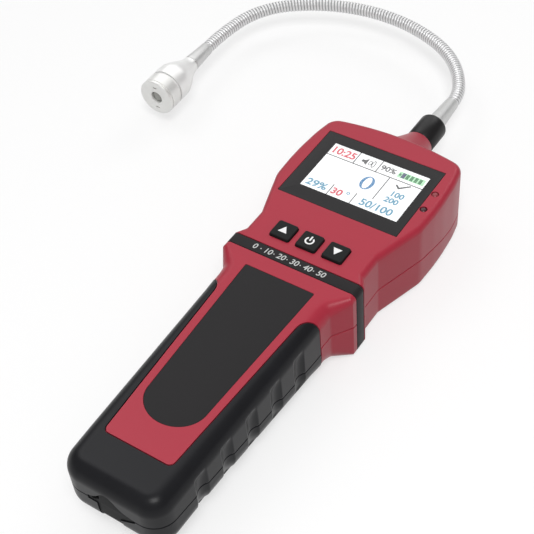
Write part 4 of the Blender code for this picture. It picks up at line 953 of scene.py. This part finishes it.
BAND = (-57.0, -51.0)
groove = collar_hoop([(-4.0, BAND[0] - GAP), (-4.0, BAND[1] + GAP), (1.5, BAND[1] + GAP),
                      (1.5, BAND[0] - GAP)])
print("groove", len(groove[1]), "faces")

# %% [markdown]
# ## The front shell
# The real shells are moulded in red plastic with a satin skin, and meet at a thin parting line. The
# front is made as a moulder would think of it: the outer skin where it is red, the narrower core
# that the grips cover, half a bell for the neck, the hollow, and posts for the screws.

# %% Front shell
CORE_DEPTH = 2.0
SHELL = dict(steps=10, rows=3, soften=0.25)
levels = half_levels(level(0), lambda y: shell_seam(y) + SEAM_LIFT, level(FACE), 1, FRONT_EDGES, **SHELL)
front = piece("front_casing", *skin(fine, levels), slot="red_plastic", finish=RED,
              stands_for=["front_shell"])
carve(front, rounded_prism(PANEL, UPPER - 15, FACE + 10, 16), "INTERSECT")
core = half_levels(under_grip, level(UPPER), level(FACE - CORE_DEPTH), 1, FRONT_EDGES)
carve(front, skin(plain, core), "UNION")
carve(front, bell(1), "UNION")
carve(front, hollow(SEAM - 12, 1, lambda y: FACE - floor_thickness(y)))
posts = [disc(x, y, FRONT_POST, UPPER, FACE - CORE_DEPTH) for x, y, _ in SCREWS_AT]
carve(front, several(*posts), "UNION")
carve(front, groove)

# %% [markdown]
# ## The front's openings
# The window and the label lie in shallow beds, so that their films end flush with the face. The
# keys and lamps pass right through, one clearance wider than what fills them. Openings that don't
# touch are cut together, which is faster and leaves cleaner edges than one step each.

# %% Front openings
ledge = FACE - 1.2 - GAP
through = (FACE - 2 * WALL, FACE + 2)
keyholes = [rounded_prism(rectangle(KEY_HALF[0] + GAP, KEY_HALF[1] + GAP, 1.2, x, KEY_Y), *through)
            for x in KEY_X.values()]
lampholes = [disc(x, y, 1.5 + GAP, *through) for x, y in LAMPS.values()]
window_hole = rounded_prism(rectangle(WINDOW_HALF[0] + 0.2, WINDOW_HALF[1] + 0.2, 0.4, 0, WINDOW_Y),
                            ledge, FACE + 2)
label_bed = rounded_prism(label_corners(0.12), FACE - 0.8, FACE + 2)
carve(front, several(window_hole, label_bed, *keyholes, *lampholes))
half_x, half_y = MODULE_HALF
carve(front, block((-half_x, half_x), (MODULE_Y - half_y, MODULE_Y + half_y), (through[0], ledge + 1)))
carve(front, bore)
shade(front, 32)
print("front casing", len(front.data.polygons), "faces")

# %% [markdown]
# ## The rear shell
# The back mirrors the front's make, with a sloping floor. Inside it has posts for the six screws
# and two saddles for the round battery. Each screw sits in a well, on a seat with a narrower hole.

# %% Rear shell
ROOM_RADIUS, ROOM_Z, ROOM_Y = 9.5, 20.0, (-156.3, -88.7)
SADDLES_Y, SADDLE_HALF = (-101.0, -144.0), (13.2, 1.5)
levels = half_levels(level(0), lambda y: shell_seam(y) - SEAM_LIFT, back_z, -1, BACK_EDGES, **SHELL)
rear = piece("rear_casing", *skin(fine, levels), slot="red_plastic", finish=RED, stands_for=["rear_shell"])
carve(rear, block((-ALL_X, ALL_X), (GRIP_TOP, ALL_TOP), (-10, SEAM + 10)), "INTERSECT")
core = half_levels(under_grip, level(LOWER), over_back(CORE_DEPTH), -1, BACK_EDGES)
carve(rear, skin(plain, core), "UNION")
carve(rear, bell(-1), "UNION")
carve(rear, hollow(SEAM + 6, -1, lambda y: back_z(y) + floor_thickness(y)))
posts = [disc(x, y, REAR_POST, float(over_back(CORE_DEPTH)(y)), LOWER) for x, y, _ in SCREWS_AT]
saddles = [block((-SADDLE_HALF[0], SADDLE_HALF[0]), (y - SADDLE_HALF[1], y + SADDLE_HALF[1]),
                 (float(over_back(3.4)(y)), LOWER)) for y in SADDLES_Y]
carve(rear, several(*posts, *saddles), "UNION")
carve(rear, several(*[disc(x, y, SHELL_WELL, -1, seat) for x, y, seat in SCREWS_AT]))
carve(rear, several(*[disc(x, y, SHANK_HOLE, seat - 0.5, UPPER + 1, 16) for x, y, seat in SCREWS_AT]))
battery_room = turned([(0, ROOM_Y[0]), (ROOM_RADIUS, ROOM_Y[0]), (ROOM_RADIUS, ROOM_Y[1]), (0, ROOM_Y[1])],
                      ((0, 0, ROOM_Z), *ALONG[1:]), 40)
for cutter in (battery_room, groove, bore, socket_slot):
    carve(rear, cutter)
shade(rear, 32)
print("rear casing", len(rear.data.polygons), "faces")

# %% [markdown]
# ## The grips
# Black rubber is moulded over the handle in two halves, which meet at a fine line round the side.
# Five narrow finger notches cross that line on each side. A notch is deepest at the line, fades
# out under the front's rounded edge, and runs out where the back curves away. It is a depth added
# to the skin's inset.

# %% Grip halves
NOTCHES, PITCH, FIRST = 5, 16.9, -93.0
DEPTH, HALF_WIDE, ABOVE, BELOW = 1.4, 3.9, 14.0, 8.5


def notches(y, z):
    """Depth times 1 - a squared, times the root of 1 - h^4, a across a notch and h up or down it."""
    nearest = np.clip(np.round((FIRST - y) / PITCH), 0, NOTCHES - 1)
    across = np.clip(np.abs(y - (FIRST - nearest * PITCH)) / HALF_WIDE, 0, 1)
    tall = np.clip(np.where(z > SEAM, (z - SEAM) / ABOVE, (SEAM - z) / BELOW), 0, 1)
    return DEPTH * (1 - across ** 2) * np.sqrt(1 - tall ** 4)


def core_room(y):
    """Inset of the room for the red core, one clearance wider than it."""
    return under_grip(y) - GAP


def grip(name, node, levels, core, rest):
    """One grip half: its fluted skin, less the core, then less what else it leaves free."""
    made = piece(name, *skin(fluted, levels), slot="black_rubber", finish=GRIP, stands_for=[node])
    for cutter in (skin(plain, core), *rest):
        carve(made, cutter)
    shade(made, 40)


fluted = casing_outline(fluted=True, steps=16)
MOULDED_IN = dict(soften=0.25, extra=notches)
grip("grip_upper", "grip_front",
     half_levels(level(0), lambda y: grip_seam(y) + SEAM_LIFT, level(FACE), 1, FRONT_EDGES, 14, 16,
                 **MOULDED_IN),
     half_levels(core_room, level(SEAM - 4), level(FACE - 1.7), 1, FRONT_EDGES),
     [rounded_prism(PANEL, UPPER - 10, FACE + 10, 16, -0.5), port])
wells = [disc(x, y, GRIP_WELL, -1, seat) for x, y, seat in SCREWS_AT if y < GRIP_TOP]
grip("grip_lower", "grip_rear",
     half_levels(level(0), lambda y: grip_seam(y) - SEAM_LIFT, back_z, -1, BACK_EDGES, 18, 6, **MOULDED_IN),
     half_levels(core_room, level(SEAM + 7), over_back(1.7), -1, BACK_EDGES),
     [block((-ALL_X, ALL_X), (GRIP_TOP - GAP, ALL_TOP), (-10, SEAM + 10)), port,
      several(socket_slot, *wells)])

# %% [markdown]
# ## The collar band
# A black hoop sits in the groove round the waist, with softened edges. Its front carries a plain
# scale in silver print: numerals made a mesh from Blender's own font, with dots between.

# %% Print and band
def lettering(text, size, x, y, heights, bold=0.0, slant=0.0, wide=1.0):
    """Numerals centred at (x, y) and raised between two heights, as points and faces."""
    low, high = heights
    curve = bpy.data.curves.new("numerals", "FONT")
    curve.body, curve.size, curve.extrude, curve.offset = text, size, (high - low) / 2, bold
    curve.align_x, curve.align_y, curve.shear, curve.resolution_u = "CENTER", "CENTER", slant, 5
    holder = linked("numerals", curve)
    made = bpy.data.meshes.new_from_object(holder.evaluated_get(bpy.context.evaluated_depsgraph_get()))
    points = np.empty(len(made.vertices) * 3)
    made.vertices.foreach_get("co", points)
    faces = [list(face.vertices) for face in made.polygons]
    bpy.data.objects.remove(holder)
    return points.reshape(-1, 3) * (wide, 1, 1) + (x, y, (low + high) / 2), faces


soft, print_y, printed = 0.35, sum(BAND) / 2, (FACE, FACE + 0.03)
band_profile = [(1.2, BAND[0]), (soft, BAND[0]), (0.1, BAND[0] + 0.1), (0.0, BAND[0] + soft),
                (0.0, BAND[1] - soft), (0.1, BAND[1] - 0.1), (soft, BAND[1]), (1.2, BAND[1])]
piece("band", *collar_hoop(band_profile), slot="band_black", finish=BAND_BLACK,
      stands_for=["collar_band"], sharp=50)
marks = [lettering("%d" % (10 * k), 4.2, -20.0 + 6.8 * k, print_y, printed, 0.05, slant=0.12)
         for k in range(6)]
marks += [disc(x, print_y, 0.3, *printed, 16) for x in -16.9 + 6.8 * np.arange(5)]
piece("band_scale", *several(*marks), slot="band_black", finish=SILVER)

# %% [markdown]
# ## The handle's label
# The label is a dark film in a shallow bed. It is the same plan as the bed, a hair narrower, with a
# softly rounded upper edge that catches a thin line of light.

# %% Label
piece("label", *plate(label_corners(), rounded_levels(FACE - 0.5, FACE, 0.18, 3)),
      slot="label_grey", finish=LABEL, stands_for=["handle_label"], sharp=50)

# %% [markdown]
# ## The window
# The window is a laminate: a dark printed border, the lit picture just under the surface, and a
# clear pane flush with the border. The border is a frame, the outer plan and the inner one joined
# into a closed ring, so that the picture shows through a real opening.

# %% Window border and pane
LIT_X, LIT_Y = (-24.0, 26.5), (-10.5, 21.5)
UNDER_WINDOW = FACE - 1.2
mid = ((LIT_X[0] + LIT_X[1]) / 2, (LIT_Y[0] + LIT_Y[1]) / 2)
half = ((LIT_X[1] - LIT_X[0]) / 2, (LIT_Y[1] - LIT_Y[0]) / 2)
outer = outline(rectangle(*WINDOW_HALF, 0.4, 0, WINDOW_Y), 4)
inner = outline(rectangle(half[0] + 0.1, half[1] + 0.1, 0.2, *mid), 4)
rows = [(outer, 0, UNDER_WINDOW), (outer, 0, FACE - 0.15), (outer, 0.05, FACE - 0.04),
        (outer, 0.15, FACE), (inner, 0, FACE), (inner, 0, UNDER_WINDOW)]
border = [np.column_stack([moved_in(loop, inset), np.full(len(loop[0]), z)]) for loop, inset, z in rows]
piece("window_border", np.concatenate(border), grid_faces(6, len(outer[0]), wrap_rows=True),
      slot="window_dark", finish=BORDER, stands_for=["display_window"], sharp=50)

CLEAR_PANE = plastic("clear_pane", (0.98, 0.98, 0.98), 0.04, mottle=0.0, bump=0.0, IOR=1.45,
                     Transmission_Weight=1.0)
piece("window_pane", *plate(rectangle(*half, 0.2, *mid), [(0, FACE - 0.14), (0, FACE)], 4),
      slot="window_dark", finish=CLEAR_PANE)
print("lit field %.1f x %.1f mm" % (2 * half[0], 2 * half[1]))

# %% [markdown]
# ## Lit print
# The display's colours are lights, not paints, so each is an emission at about the level that it
# shows on the screen. Bars, rings and numerals are all the shapes that the picture needs.

# %% Lit colours and shapes
LOW, HIGH, CELL_BACK = FACE - 0.22, FACE - 0.19, FACE - 0.20
INK = (LOW, HIGH)
LIT_WHITE = glowing("lit_white", (0.98, 0.99, 1.0), 1.12)
LIT_BLACK = glowing("lit_black", (0.028, 0.028, 0.030))
LIT_RED = glowing("lit_red", srgb(214, 52, 74))
LIT_BLUE = glowing("lit_blue", srgb(30, 120, 176))
LIT_PALE = glowing("lit_pale_blue", srgb(70, 146, 178))
LIT_GREEN = glowing("lit_green", srgb(6, 122, 60))
LIT_MINT = glowing("lit_mint", srgb(176, 232, 186))
LIT_NAVY = glowing("lit_navy", srgb(14, 40, 92))
LIT_FAINT = glowing("lit_faint", srgb(226, 214, 216))


def lit(name, colour, *shapes):
    """Lit piece of the picture, from shapes that don't touch."""
    piece(name, *several(*shapes), slot="screen", finish=colour)


def bars(low, high, *sides):
    """Flat bars between two heights, one for each x0, x1, y0, y1."""
    return [block((x0, x1), (y0, y1), (low, high)) for x0, x1, y0, y1 in sides]


def ring(x, y, outer_half, inner_half, steps=48):
    """Elliptical ring with its own thickness across and up: a numeral nought."""
    t = np.linspace(0, 2 * np.pi, steps, endpoint=False)
    ovals = [np.column_stack([x + a * np.cos(t), y + b * np.sin(t)]) for a, b in (outer_half, inner_half)]
    rows = [np.column_stack([ovals[i], np.full(steps, z)])
            for i, z in ((0, LOW), (0, HIGH), (1, HIGH), (1, LOW))]
    return np.concatenate(rows), grid_faces(4, steps, wrap_rows=True)


print("lit colours", sum(made.name.startswith("lit_") for made in bpy.data.materials))

# %% [markdown]
# ## What the screen shows
# The screen shows a white field with a clock, a battery, gauges and a reading. Everything on the
# field is raised by 0.03 mm, less than a sheet of paper, so that it is a shape and stays crisp in
# any view, as an image would not.

# %% Lit picture
x0, x1, y0, y1 = *LIT_X, *LIT_Y
lit("screen_field", LIT_WHITE, *bars(FACE - 0.30, LOW, (x0, x1, y0, y1)))
lit("screen_lines", LIT_BLACK, *bars(
    *INK, (x0, x1, 13.2, 13.75), (-10.3, -9.8, 13.8, y1), (1.8, 2.3, 13.8, y1), (9.7, 10.2, -2.9, 13.1),
    (-10.3, -9.8, y0, -3.2), (1.8, 2.3, y0, -3.2)))
lit("screen_faint", LIT_FAINT, *bars(
    *INK, (x0, 9.7, -3.1, -2.95), (10.2, x1, -3.1, -2.95), (10.2, x1, 7.0, 7.15)))
lit("screen_clock", LIT_RED, lettering("10:25", 6.3, -17.1, 17.4, INK, 0.19, wide=0.93),
    lettering("30", 5.6, -6.6, -6.9, INK, 0.18))
speaker = [(-7.2, 16.6), (-6.0, 16.6), (-4.3, 15.1), (-4.3, 19.7), (-6.0, 18.2), (-7.2, 18.2)]
tick = [(14.6, 10.3), (16.9, 8.2), (21.6, 12.3), (21.0, 12.9), (16.9, 9.5), (15.2, 10.9)]
lit("screen_signs", LIT_BLACK, prism(speaker, *INK), ring(-2.7, 17.4, (0.9, 1.5), (0.55, 1.1)),
    ring(-1.0, 17.4, (0.9, 2.4), (0.5, 1.9)), prism(tick, *INK),
    lettering("90%", 4.7, 6.9, 17.5, INK, 0.11))
lit("screen_nought", LIT_BLUE, ring(2.6, 5.1, (3.3, 4.5), (1.75, 3.95)))
lit("screen_figures", LIT_PALE, lettering("29%", 5.8, -17.3, -6.9, INK, 0.16, wide=1.1),
    ring(-1.4, -5.1, (0.9, 0.9), (0.45, 0.45)),
    *[lettering(text, size, x, y, INK, 0.15) for text, size, x, y in (
        ("100", 4.6, 18.6, 4.4), ("200", 4.6, 18.0, 0.0), ("50/100", 6.0, 14.0, -6.9))])
lit("screen_cell_back", LIT_MINT, *bars(LOW, CELL_BACK, (12.2, 25.6, 15.4, 19.4)))
lit("screen_cells", LIT_GREEN, *bars(
    CELL_BACK, HIGH, (12.6, 13.6, 16.6, 18.2),
    *[(x, x + 1.5, 15.8, 19.0) for x in (16.2, 18.4, 20.6, 22.8)]))
lit("screen_used_cell", LIT_NAVY, *bars(CELL_BACK, HIGH, (14.0, 15.8, 15.7, 19.1)))

# %% [markdown]
# ## The keys
# Each key is a rubber block with a rounded top edge, a hidden lip that holds it under the front and
# a stem over its switch. It rides on its own body, with its white sign: two arrowheads, and a
# broken ring with a bar for the power key.

# %% Keys
KEY_TOP, LIP, KEY_EDGE = FACE + 1.5, FACE - WALL - GAP, 0.55
sign_z, sign_y = (KEY_TOP, KEY_TOP + 0.02), KEY_Y - 0.2
turn = np.radians(np.linspace(128, 412, 40))
wheel = [np.column_stack([r * np.cos(turn), sign_y + r * np.sin(turn)]) for r in (2.25, 1.5)]
signs = {
    "up": [prism([(-15.7, -42.1), (-11.3, -42.1), (-13.5, -38.3)], *sign_z)],
    "down": [prism([(11.3, -38.6), (13.5, -42.4), (15.7, -38.6)], *sign_z)],
    "power": [prism(np.concatenate([wheel[0], wheel[1][::-1]]), *sign_z),
              block((-0.38, 0.38), (sign_y, KEY_Y + 2.6), sign_z)]}
for name, x in KEY_X.items():
    on_key = dict(body=name + "_key", slot="key_rubber")
    levels = [(-1.1, LIP - 0.9), (-1.1, LIP)] + rounded_levels(LIP + 0.01, KEY_TOP, KEY_EDGE, 5)
    key = piece("key_cap_" + name, *plate(rectangle(*KEY_HALF, 1.1, x, KEY_Y), levels), finish=KEYS,
                stands_for=["key_" + name], sharp=50, **on_key)
    carve(key, disc(x, KEY_Y, 1.4, LIP - 2.8, LIP - 0.4, 20), "UNION")
    shade(key, 50)
    piece("key_sign_" + name, *several(*signs[name]), finish=PAINT, **on_key)

# %% [markdown]
# ## The lamps on the front
# Each lamp is a small plastic dome on a stem that reaches down to its diode. Unlit, the alarm lamp
# is a dull dark red and the status lamp nearly black, so neither glows.

# %% Alarm and status lamps
DOME_Z, DOME_RISE, DOME_RADIUS = FACE - 0.8, 1.05, 1.65
LENSES = {"alarm_lamp": ("lamp_red", LAMP_RED), "status_lamp": ("lamp_dark", LAMP_DARK)}
profile = [(0, 30.3), (1.7, 30.3), (1.7, 32.3), (1.5, 32.3), (DOME_RADIUS, 33.5), (DOME_RADIUS, DOME_Z)]
profile += [(DOME_RADIUS * np.cos(t), DOME_Z + DOME_RISE * np.sin(t))
            for t in np.linspace(0, np.pi / 2, 10)[1:-1]] + [(0, DOME_Z + DOME_RISE)]
for name, (slot, colour) in LENSES.items():
    piece(name + "_lens", *turned(profile, standing(*LAMPS[name], 0), 32), slot=slot, finish=colour,
          stands_for=[name])

# %% [markdown]
# ## The port flap
# A rubber flap closes the charging port in the handle's end. It swings down about its foot. Its
# face has to follow the handle's rounding, so a flat plate of the port's plan is kept only inside
# a skin that lies 0.35 mm under the handle's own. A notch at its left lets a finger pick it open.

# %% Flap
SEAT, SUNK = END_Y + 4.0 - GAP, 0.35
points, faces = plate([(x, z, 0) for x, z in port_plan(11.9)], rounded_levels(0, 3.3, 0.25, 4), 4)
flap = piece("flap", np.column_stack([points[:, 0], SEAT - points[:, 2], points[:, 1]]), faces,
             body="flap", slot="flap_rubber", finish=FLAP, stands_for=["port_flap"], sharp=50)
carve(flap, skin(plain, half_levels(level(SUNK), level(PORT_TOP[1] + 1), over_back(SUNK), -1,
                                    BACK_EDGES, 16)), "INTERSECT")
carve(flap, swap_yz(rounded_prism([(-8.9, 23.2, 0.4), (-5.2, 25.2, 0.6), (-4.6, 29.0, 0),
                                   (-8.9, 26.5, 0)], -195.0, SEAT - 1.0)))
shade(flap, 50)

# %% [markdown]
# ## The gooseneck
# The real neck is a bright tube wound from wire, held in one long arch. A curve through a few points
# would wobble between them, so its centre line is five arcs end to end, each with a length and a
# turn. The place and the heading then follow exactly from the distance along it.

# %% Centre line
BENDS = np.array([(13.0, 25.0), (40.0, 39.5), (93.0, 61.0), (34.0, 44.5), (27.0, 11.0)])
NECK_START, NECK = 96.0, BENDS[:, 0].sum()


def running(steps):
    """Sum of the steps so far, from 0."""
    return np.concatenate([[0], np.cumsum(steps)])


def neck_line(s):
    """Point and heading at distance s: on an arc of turn rate b, x grows by (sin h - sin h0) / b."""
    starts, turns = running(BENDS[:, 0]), np.radians(BENDS[:, 1])
    rate = turns / BENDS[:, 0]
    heads = np.pi / 2 + running(turns)
    px = running((np.sin(heads[1:]) - np.sin(heads[:-1])) / rate)
    py = NECK_START + running(-(np.cos(heads[1:]) - np.cos(heads[:-1])) / rate)
    s = np.asarray(s, float)
    k = np.clip(np.searchsorted(starts, s, side="right") - 1, 0, len(rate) - 1)
    h = heads[k] + rate[k] * (s - starts[k])
    x = px[k] + (np.sin(h) - np.sin(heads[k])) / rate[k]
    y = py[k] - (np.cos(h) - np.cos(heads[k])) / rate[k]
    return np.stack([x, y, np.full_like(x, SEAM)], -1), h


tip, tip_heading = neck_line(NECK)
TIP = (tuple(tip), (np.cos(tip_heading), np.sin(tip_heading), 0), (0, 0, 1),
       (np.sin(tip_heading), -np.cos(tip_heading), 0))
print("neck", NECK, "mm long, ends at", np.round(tip, 1))

# %% [markdown]
# ## The ribbed surface
# A fine rib runs round the tube as a screw thread. The whole tube is one grid: the distance along
# the centre line, and the angle round it. The rib's height is a wave whose phase grows with both.
# The grid also gives the normals, so that the lengths below meet without a line, and how much painted shade
# lies between the ribs.

# %% Ribs
CREST, VALLEY, RIB = 3.42, 2.86, 1.77
ROWS, ROUND = 1300, 40
PLAIN_ENDS = 1.2


def neck_surface():
    """Ribbed tube: radius = valley + (crest - valley) |cos(pi (s / pitch - a / 2 pi))|^0.8."""
    s = np.linspace(0, NECK, ROWS + 1)
    centre, h = neck_line(s)
    a = np.linspace(0, 2 * np.pi, ROUND, endpoint=False)[None, :]
    wave = np.abs(np.cos(np.pi * (s[:, None] / RIB - a / (2 * np.pi)))) ** 0.8
    fading = np.clip(np.minimum(s, NECK - s) / PLAIN_ENDS, 0, 1)[:, None]
    r = (VALLEY + (CREST - VALLEY) * wave * fading)[..., None]
    side = np.stack([np.sin(h), -np.cos(h), 0 * h], -1)[:, None, :]
    out = side * np.sin(a)[..., None] + np.array([0, 0, 1]) * np.cos(a)[..., None]
    # The third result is painted shade between the ribs, faded out at the plain ends.
    return centre[:, None, :] + r * out, centre, np.clip(1 - 1.5 * wave, 0, 1) * fading


def vertex_normals(points):
    """Unit normals of a wrapped grid: the cross product of its two central differences."""
    down = np.gradient(points, axis=0)
    across = np.roll(points, -1, 1) - np.roll(points, 1, 1)
    normal = np.cross(across, down)
    return normal / np.linalg.norm(normal, axis=-1, keepdims=True)


surface, middle, rib_valley_shade = neck_surface()
normals = vertex_normals(surface)
normals *= np.sign(((surface - middle[:, None, :]) * normals).sum(-1).mean())
print("neck surface", surface.shape[:2], "points")

# %% [markdown]
# ## Twelve lengths across twelve hinges
# Cut at the hinges, the tube would open there when it bends. So it is cut between them, in the middle of
# each body.

# %% Lengths
def corner_vertices(mesh):
    """Vertex of each face corner of a mesh."""
    corner = np.empty(len(mesh.loops), int)
    mesh.loops.foreach_get("vertex_index", corner)
    return corner


PIECES = 13
marks = np.round((np.arange(PIECES) + 0.5) / PIECES * ROWS).astype(int)
for k in range(PIECES - 1):
    low = 0 if k == 0 else marks[k]
    high = ROWS if k == PIECES - 2 else marks[k + 1]
    part = surface[low:high + 1]
    count = part.shape[0] * ROUND
    faces = grid_faces(part.shape[0], ROUND)
    for pole, start in ((count, 0), (count + 1, count - ROUND)):
        faces += [[pole, start + i, start + (i + 1) % ROUND] for i in range(ROUND)]
    points = np.concatenate([part.reshape(-1, 3), middle[[low, high]]])
    nodes = ["neck_piece_%02d" % (k + 2)] + (["neck_piece_01"] if k == 0 else [])
    length = piece("neck_length_%02d" % (k + 1), points, faces, body=None, slot="neck_chrome",
                   finish=CHROME, stands_for=nodes, sharp=180)
    # The painted shade between the ribs rides in the map's U, where the metal's finish darkens it.
    shadow = np.append(rib_valley_shade[low:high + 1].ravel(), [0, 0])[corner_vertices(length.data)]
    ribs = length.data.uv_layers.new(name="ribs")
    ribs.data.foreach_set("uv", np.column_stack([shadow, 0 * shadow]).ravel())
    ends = np.array([[0, 0, 1], [0, 0, 1]])
    length.data.normals_split_custom_set_from_vertices(
        np.concatenate([normals[low:high + 1].reshape(-1, 3), ends]).tolist())
    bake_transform(length)

# %% [markdown]
# ## The nut and the cones
# The neck is held by a smooth black nut on the half bells and a plated cone, and a longer cone at
# its far end carries the probe. All are turned, so each gets a map whose V runs along its profile:
# the lathe's fine rings then follow the surface.

# %% Neck fittings
def turning_map(made, axis):
    """UV map of a turned piece: V is the distance along the axis plus the radius, in millimetres."""
    mesh = made.data
    start, direction = (np.array(v, float) for v in axis[:2])
    place = np.empty(len(mesh.vertices) * 3)
    mesh.vertices.foreach_get("co", place)
    away = place.reshape(-1, 3) / MM - start
    v = away @ direction
    radius = np.linalg.norm(away - v[:, None] * direction, axis=1)
    layer = mesh.uv_layers.new(name="turning")
    layer.data.foreach_set("uv", np.column_stack([0 * v, v + radius])[corner_vertices(mesh)].ravel())


def turned_piece(name, profile, axis, sides=72, **more):
    """Piece of revolution with its map."""
    made = piece(name, *turned(profile, axis, sides), **more)
    turning_map(made, axis)
    return made


nut = [(5.8, 60.1), (6.9, 60.1), (7.2, 60.4), *arc(5.4, 74.7, 1.8, 8), (5.0, 76.5), (5.0, 72.7),
       (5.8, 72.7)]
turned_piece("nut", nut, ALONG, slot="nut_black", finish=NUT, stands_for=["neck_nut"], sharp=50)
cone = [(0, 70.3), (5.5, 70.3), (5.5, 72.1), (4.7, 72.1), (4.7, 77.6), (4.55, 78.0), (3.55, 95.2),
        (3.3, 95.9), (2.9, 96.0), (1.0, 96.0), (1.0, 99.0), (0, 99.0)]
turned_piece("lower_cone", cone, ALONG, slot="nickel", finish=NICKEL, stands_for=["lower_ferrule"])
AT_TIP = dict(axis=TIP, body="neck_13")
cone = [(0, -3), (1.0, -3), (1.0, 0), (2.9, 0), (3.3, 0.1), (3.5, 0.5), (4.35, 14.4), (4.4, 14.9),
        (4.4, 15.5), (4.2, 15.8), (0, 15.8)]
turned_piece("upper_cone", cone, slot="nickel", finish=NICKEL, stands_for=["upper_ferrule"], **AT_TIP)

# %% [markdown]
# ## The probe
# The probe is a turned bell with a screwed cap: a groove near its face, two slots for a spanner and
# a round inlet with a sintered disc behind it. The bell's side is a smooth step, slow at both ends,
# which is how a turner blends a narrow neck into a wide rim.

# %% Probe
LOWEST, LONG, WIDE = 16.1, 32.2, 10.1
FACE_AT = LOWEST + LONG
JOINT, GROOVE_AT = FACE_AT - 8.3, FACE_AT - 1.5
RIM, BEVEL = JOINT - 1.4, 0.25
share = np.linspace(0, 1, 30)
bell_r = 4.6 + (WIDE - 4.6) * share ** 2 * (3 - 2 * share)
bell_d = LOWEST + LONG * 0.52 * share + 0.3 * (1 - share)
shell = [(0, LOWEST), (4.3, LOWEST), *zip(bell_r, bell_d), (WIDE, RIM - BEVEL), (WIDE - BEVEL, RIM),
         (4.9, RIM), (4.9, JOINT - 5.6), (0, JOINT - 5.6)]
turned_piece("probe_bell", shell, sides=96, slot="probe_silver", finish=PROBE,
             stands_for=["probe_body"], **AT_TIP)
seal = [(6.5, RIM + BEVEL), (WIDE - 0.55, RIM + BEVEL), (WIDE - 0.55, JOINT - BEVEL), (6.5, JOINT - BEVEL)]
turned_piece("probe_ring", seal, slot="black_rubber", finish=SEAL, stands_for=["probe_seal"], **AT_TIP)

# %% [markdown]
# ## The probe's cap
# The cap screws onto the bell. Its groove is part of the turned profile, and its two spanner slots
# are cut afterwards, because they aren't round. The inlet's disc is pressed in from behind.

# %% Probe cap
cap = [(4.9, JOINT), (WIDE - BEVEL, JOINT), (WIDE, JOINT + BEVEL), (WIDE, GROOVE_AT - 0.35),
       (WIDE - 0.4, GROOVE_AT - 0.28), (WIDE - 0.4, GROOVE_AT + 0.12), (WIDE, GROOVE_AT + 0.2),
       *arc(WIDE - 0.45, FACE_AT - 0.45, 0.45, 5), (3.75, FACE_AT), (3.55, FACE_AT - 0.1),
       (3.3, FACE_AT - 0.4), (3.3, FACE_AT - 2.2), (4.9, FACE_AT - 2.2)]
made = turned_piece("probe_cap_ring", cap, sides=96, slot="probe_silver", finish=PROBE_END,
                    stands_for=["probe_cap"], **AT_TIP)
centre, direction, side, over = [np.array(v, float) for v in TIP]
slots = []
for x in (6.3, -6.3):
    points, faces = plate(rectangle(0.45, 1.2, 0.3, x, 0), [(0, FACE_AT - 0.9), (0, FACE_AT + 1)], 4)
    slots.append((centre + points[:, :1] * side + points[:, 1:2] * over + points[:, 2:] * direction, faces))
carve(made, several(*slots))
shade(made, 35)
turning_map(made, TIP)
sinter = [(0, FACE_AT - 3.7), (4.3, FACE_AT - 3.7), (4.3, FACE_AT - 2.5), (3.1, FACE_AT - 2.5),
          (3.1, FACE_AT - 1.5), (2.8, FACE_AT - 1.2), (1.6, FACE_AT - 1.05), (0, FACE_AT - 1.0)]
turned_piece("sinter", sinter, slot="mesh_steel", finish=MESH, stands_for=["inlet_mesh"], **AT_TIP)

# %% [markdown]
# ## The case screws
# The six case screws show in their wells at the back, so each gets a rounded head and a cross
# recess. A screw is turned like the probe, and the recess is a cross-shaped prism cut into it.

# %% Case screws
ARM, REACH = 0.35, 1.3
cross = np.array([(ARM, ARM), (ARM, REACH), (-ARM, REACH), (-ARM, ARM), (-REACH, ARM), (-REACH, -ARM),
                  (-ARM, -ARM), (-ARM, -REACH), (ARM, -REACH), (ARM, -ARM), (REACH, -ARM), (REACH, ARM)])
crowned = [(2.6 - 1.1 * (1 - np.sin(t)), -2.1 + 0.9 * (1 - np.cos(t)))
           for t in np.linspace(0.3, np.pi / 2, 6)]
for k, (x, y, seat) in enumerate(SCREWS_AT, 1):
    head = seat - GAP
    long = 27.0 - head
    profile = [(0, -2.1), (1.5, -2.1), *crowned, (2.6, 0), (1.3, 0), (1.3, long - 1.3), (0.4, long),
               (0, long)]
    made = turned_piece("back_screw_%d" % k, profile, standing(x, y, head), sides=40, slot="screw_steel",
                        finish=SCREWS, stands_for=["case_screw_%d" % k])
    carve(made, prism(cross + (x, y), head - 3.0, head - 1.2))
    shade(made, 35)
    turning_map(made, standing(x, y, head))

# %% [markdown]
# ## What lies inside
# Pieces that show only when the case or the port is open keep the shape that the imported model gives
# them. Each gets a finish of its own, in place of the plain one it came with.

# %% Inner pieces
INNER = {
    "main_board": plastic("board_green", (0.015, 0.13, 0.05), 0.35, mottle=0.5, grain=1500.0),
    "lcd_module": plastic("module_grey", (0.30, 0.31, 0.32), 0.4),
    "display_pad": plastic("foam", (0.03, 0.03, 0.03), 0.95, mottle=0.8, grain=1800.0, bump=0.05),
    "buzzer": plastic("buzzer_black", (0.02, 0.02, 0.02), 0.4),
    "battery_cell": plastic("battery_wrap", (0.03, 0.12, 0.35), 0.32, mottle=0.15),
    "charging_socket": metal("steel", (0.55, 0.55, 0.56), 0.3, lines=2.0),
    "neck_bush": metal("brass", (0.70, 0.52, 0.25), 0.3), "gas_sensor": NICKEL}
INNER["charge_board"] = INNER["main_board"]
switch = plastic("switch_black", (0.03, 0.03, 0.03), 0.45)
INNER.update({"switch_" + name: switch for name in KEY_X})
INNER.update({"board_screw_%d" % k: SCREWS for k in range(1, 5)})
for name, paint in INNER.items():
    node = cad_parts[name]
    node.data.materials.clear()
    node.data.materials.append(paint)
print(len(INNER), "inner pieces finished")
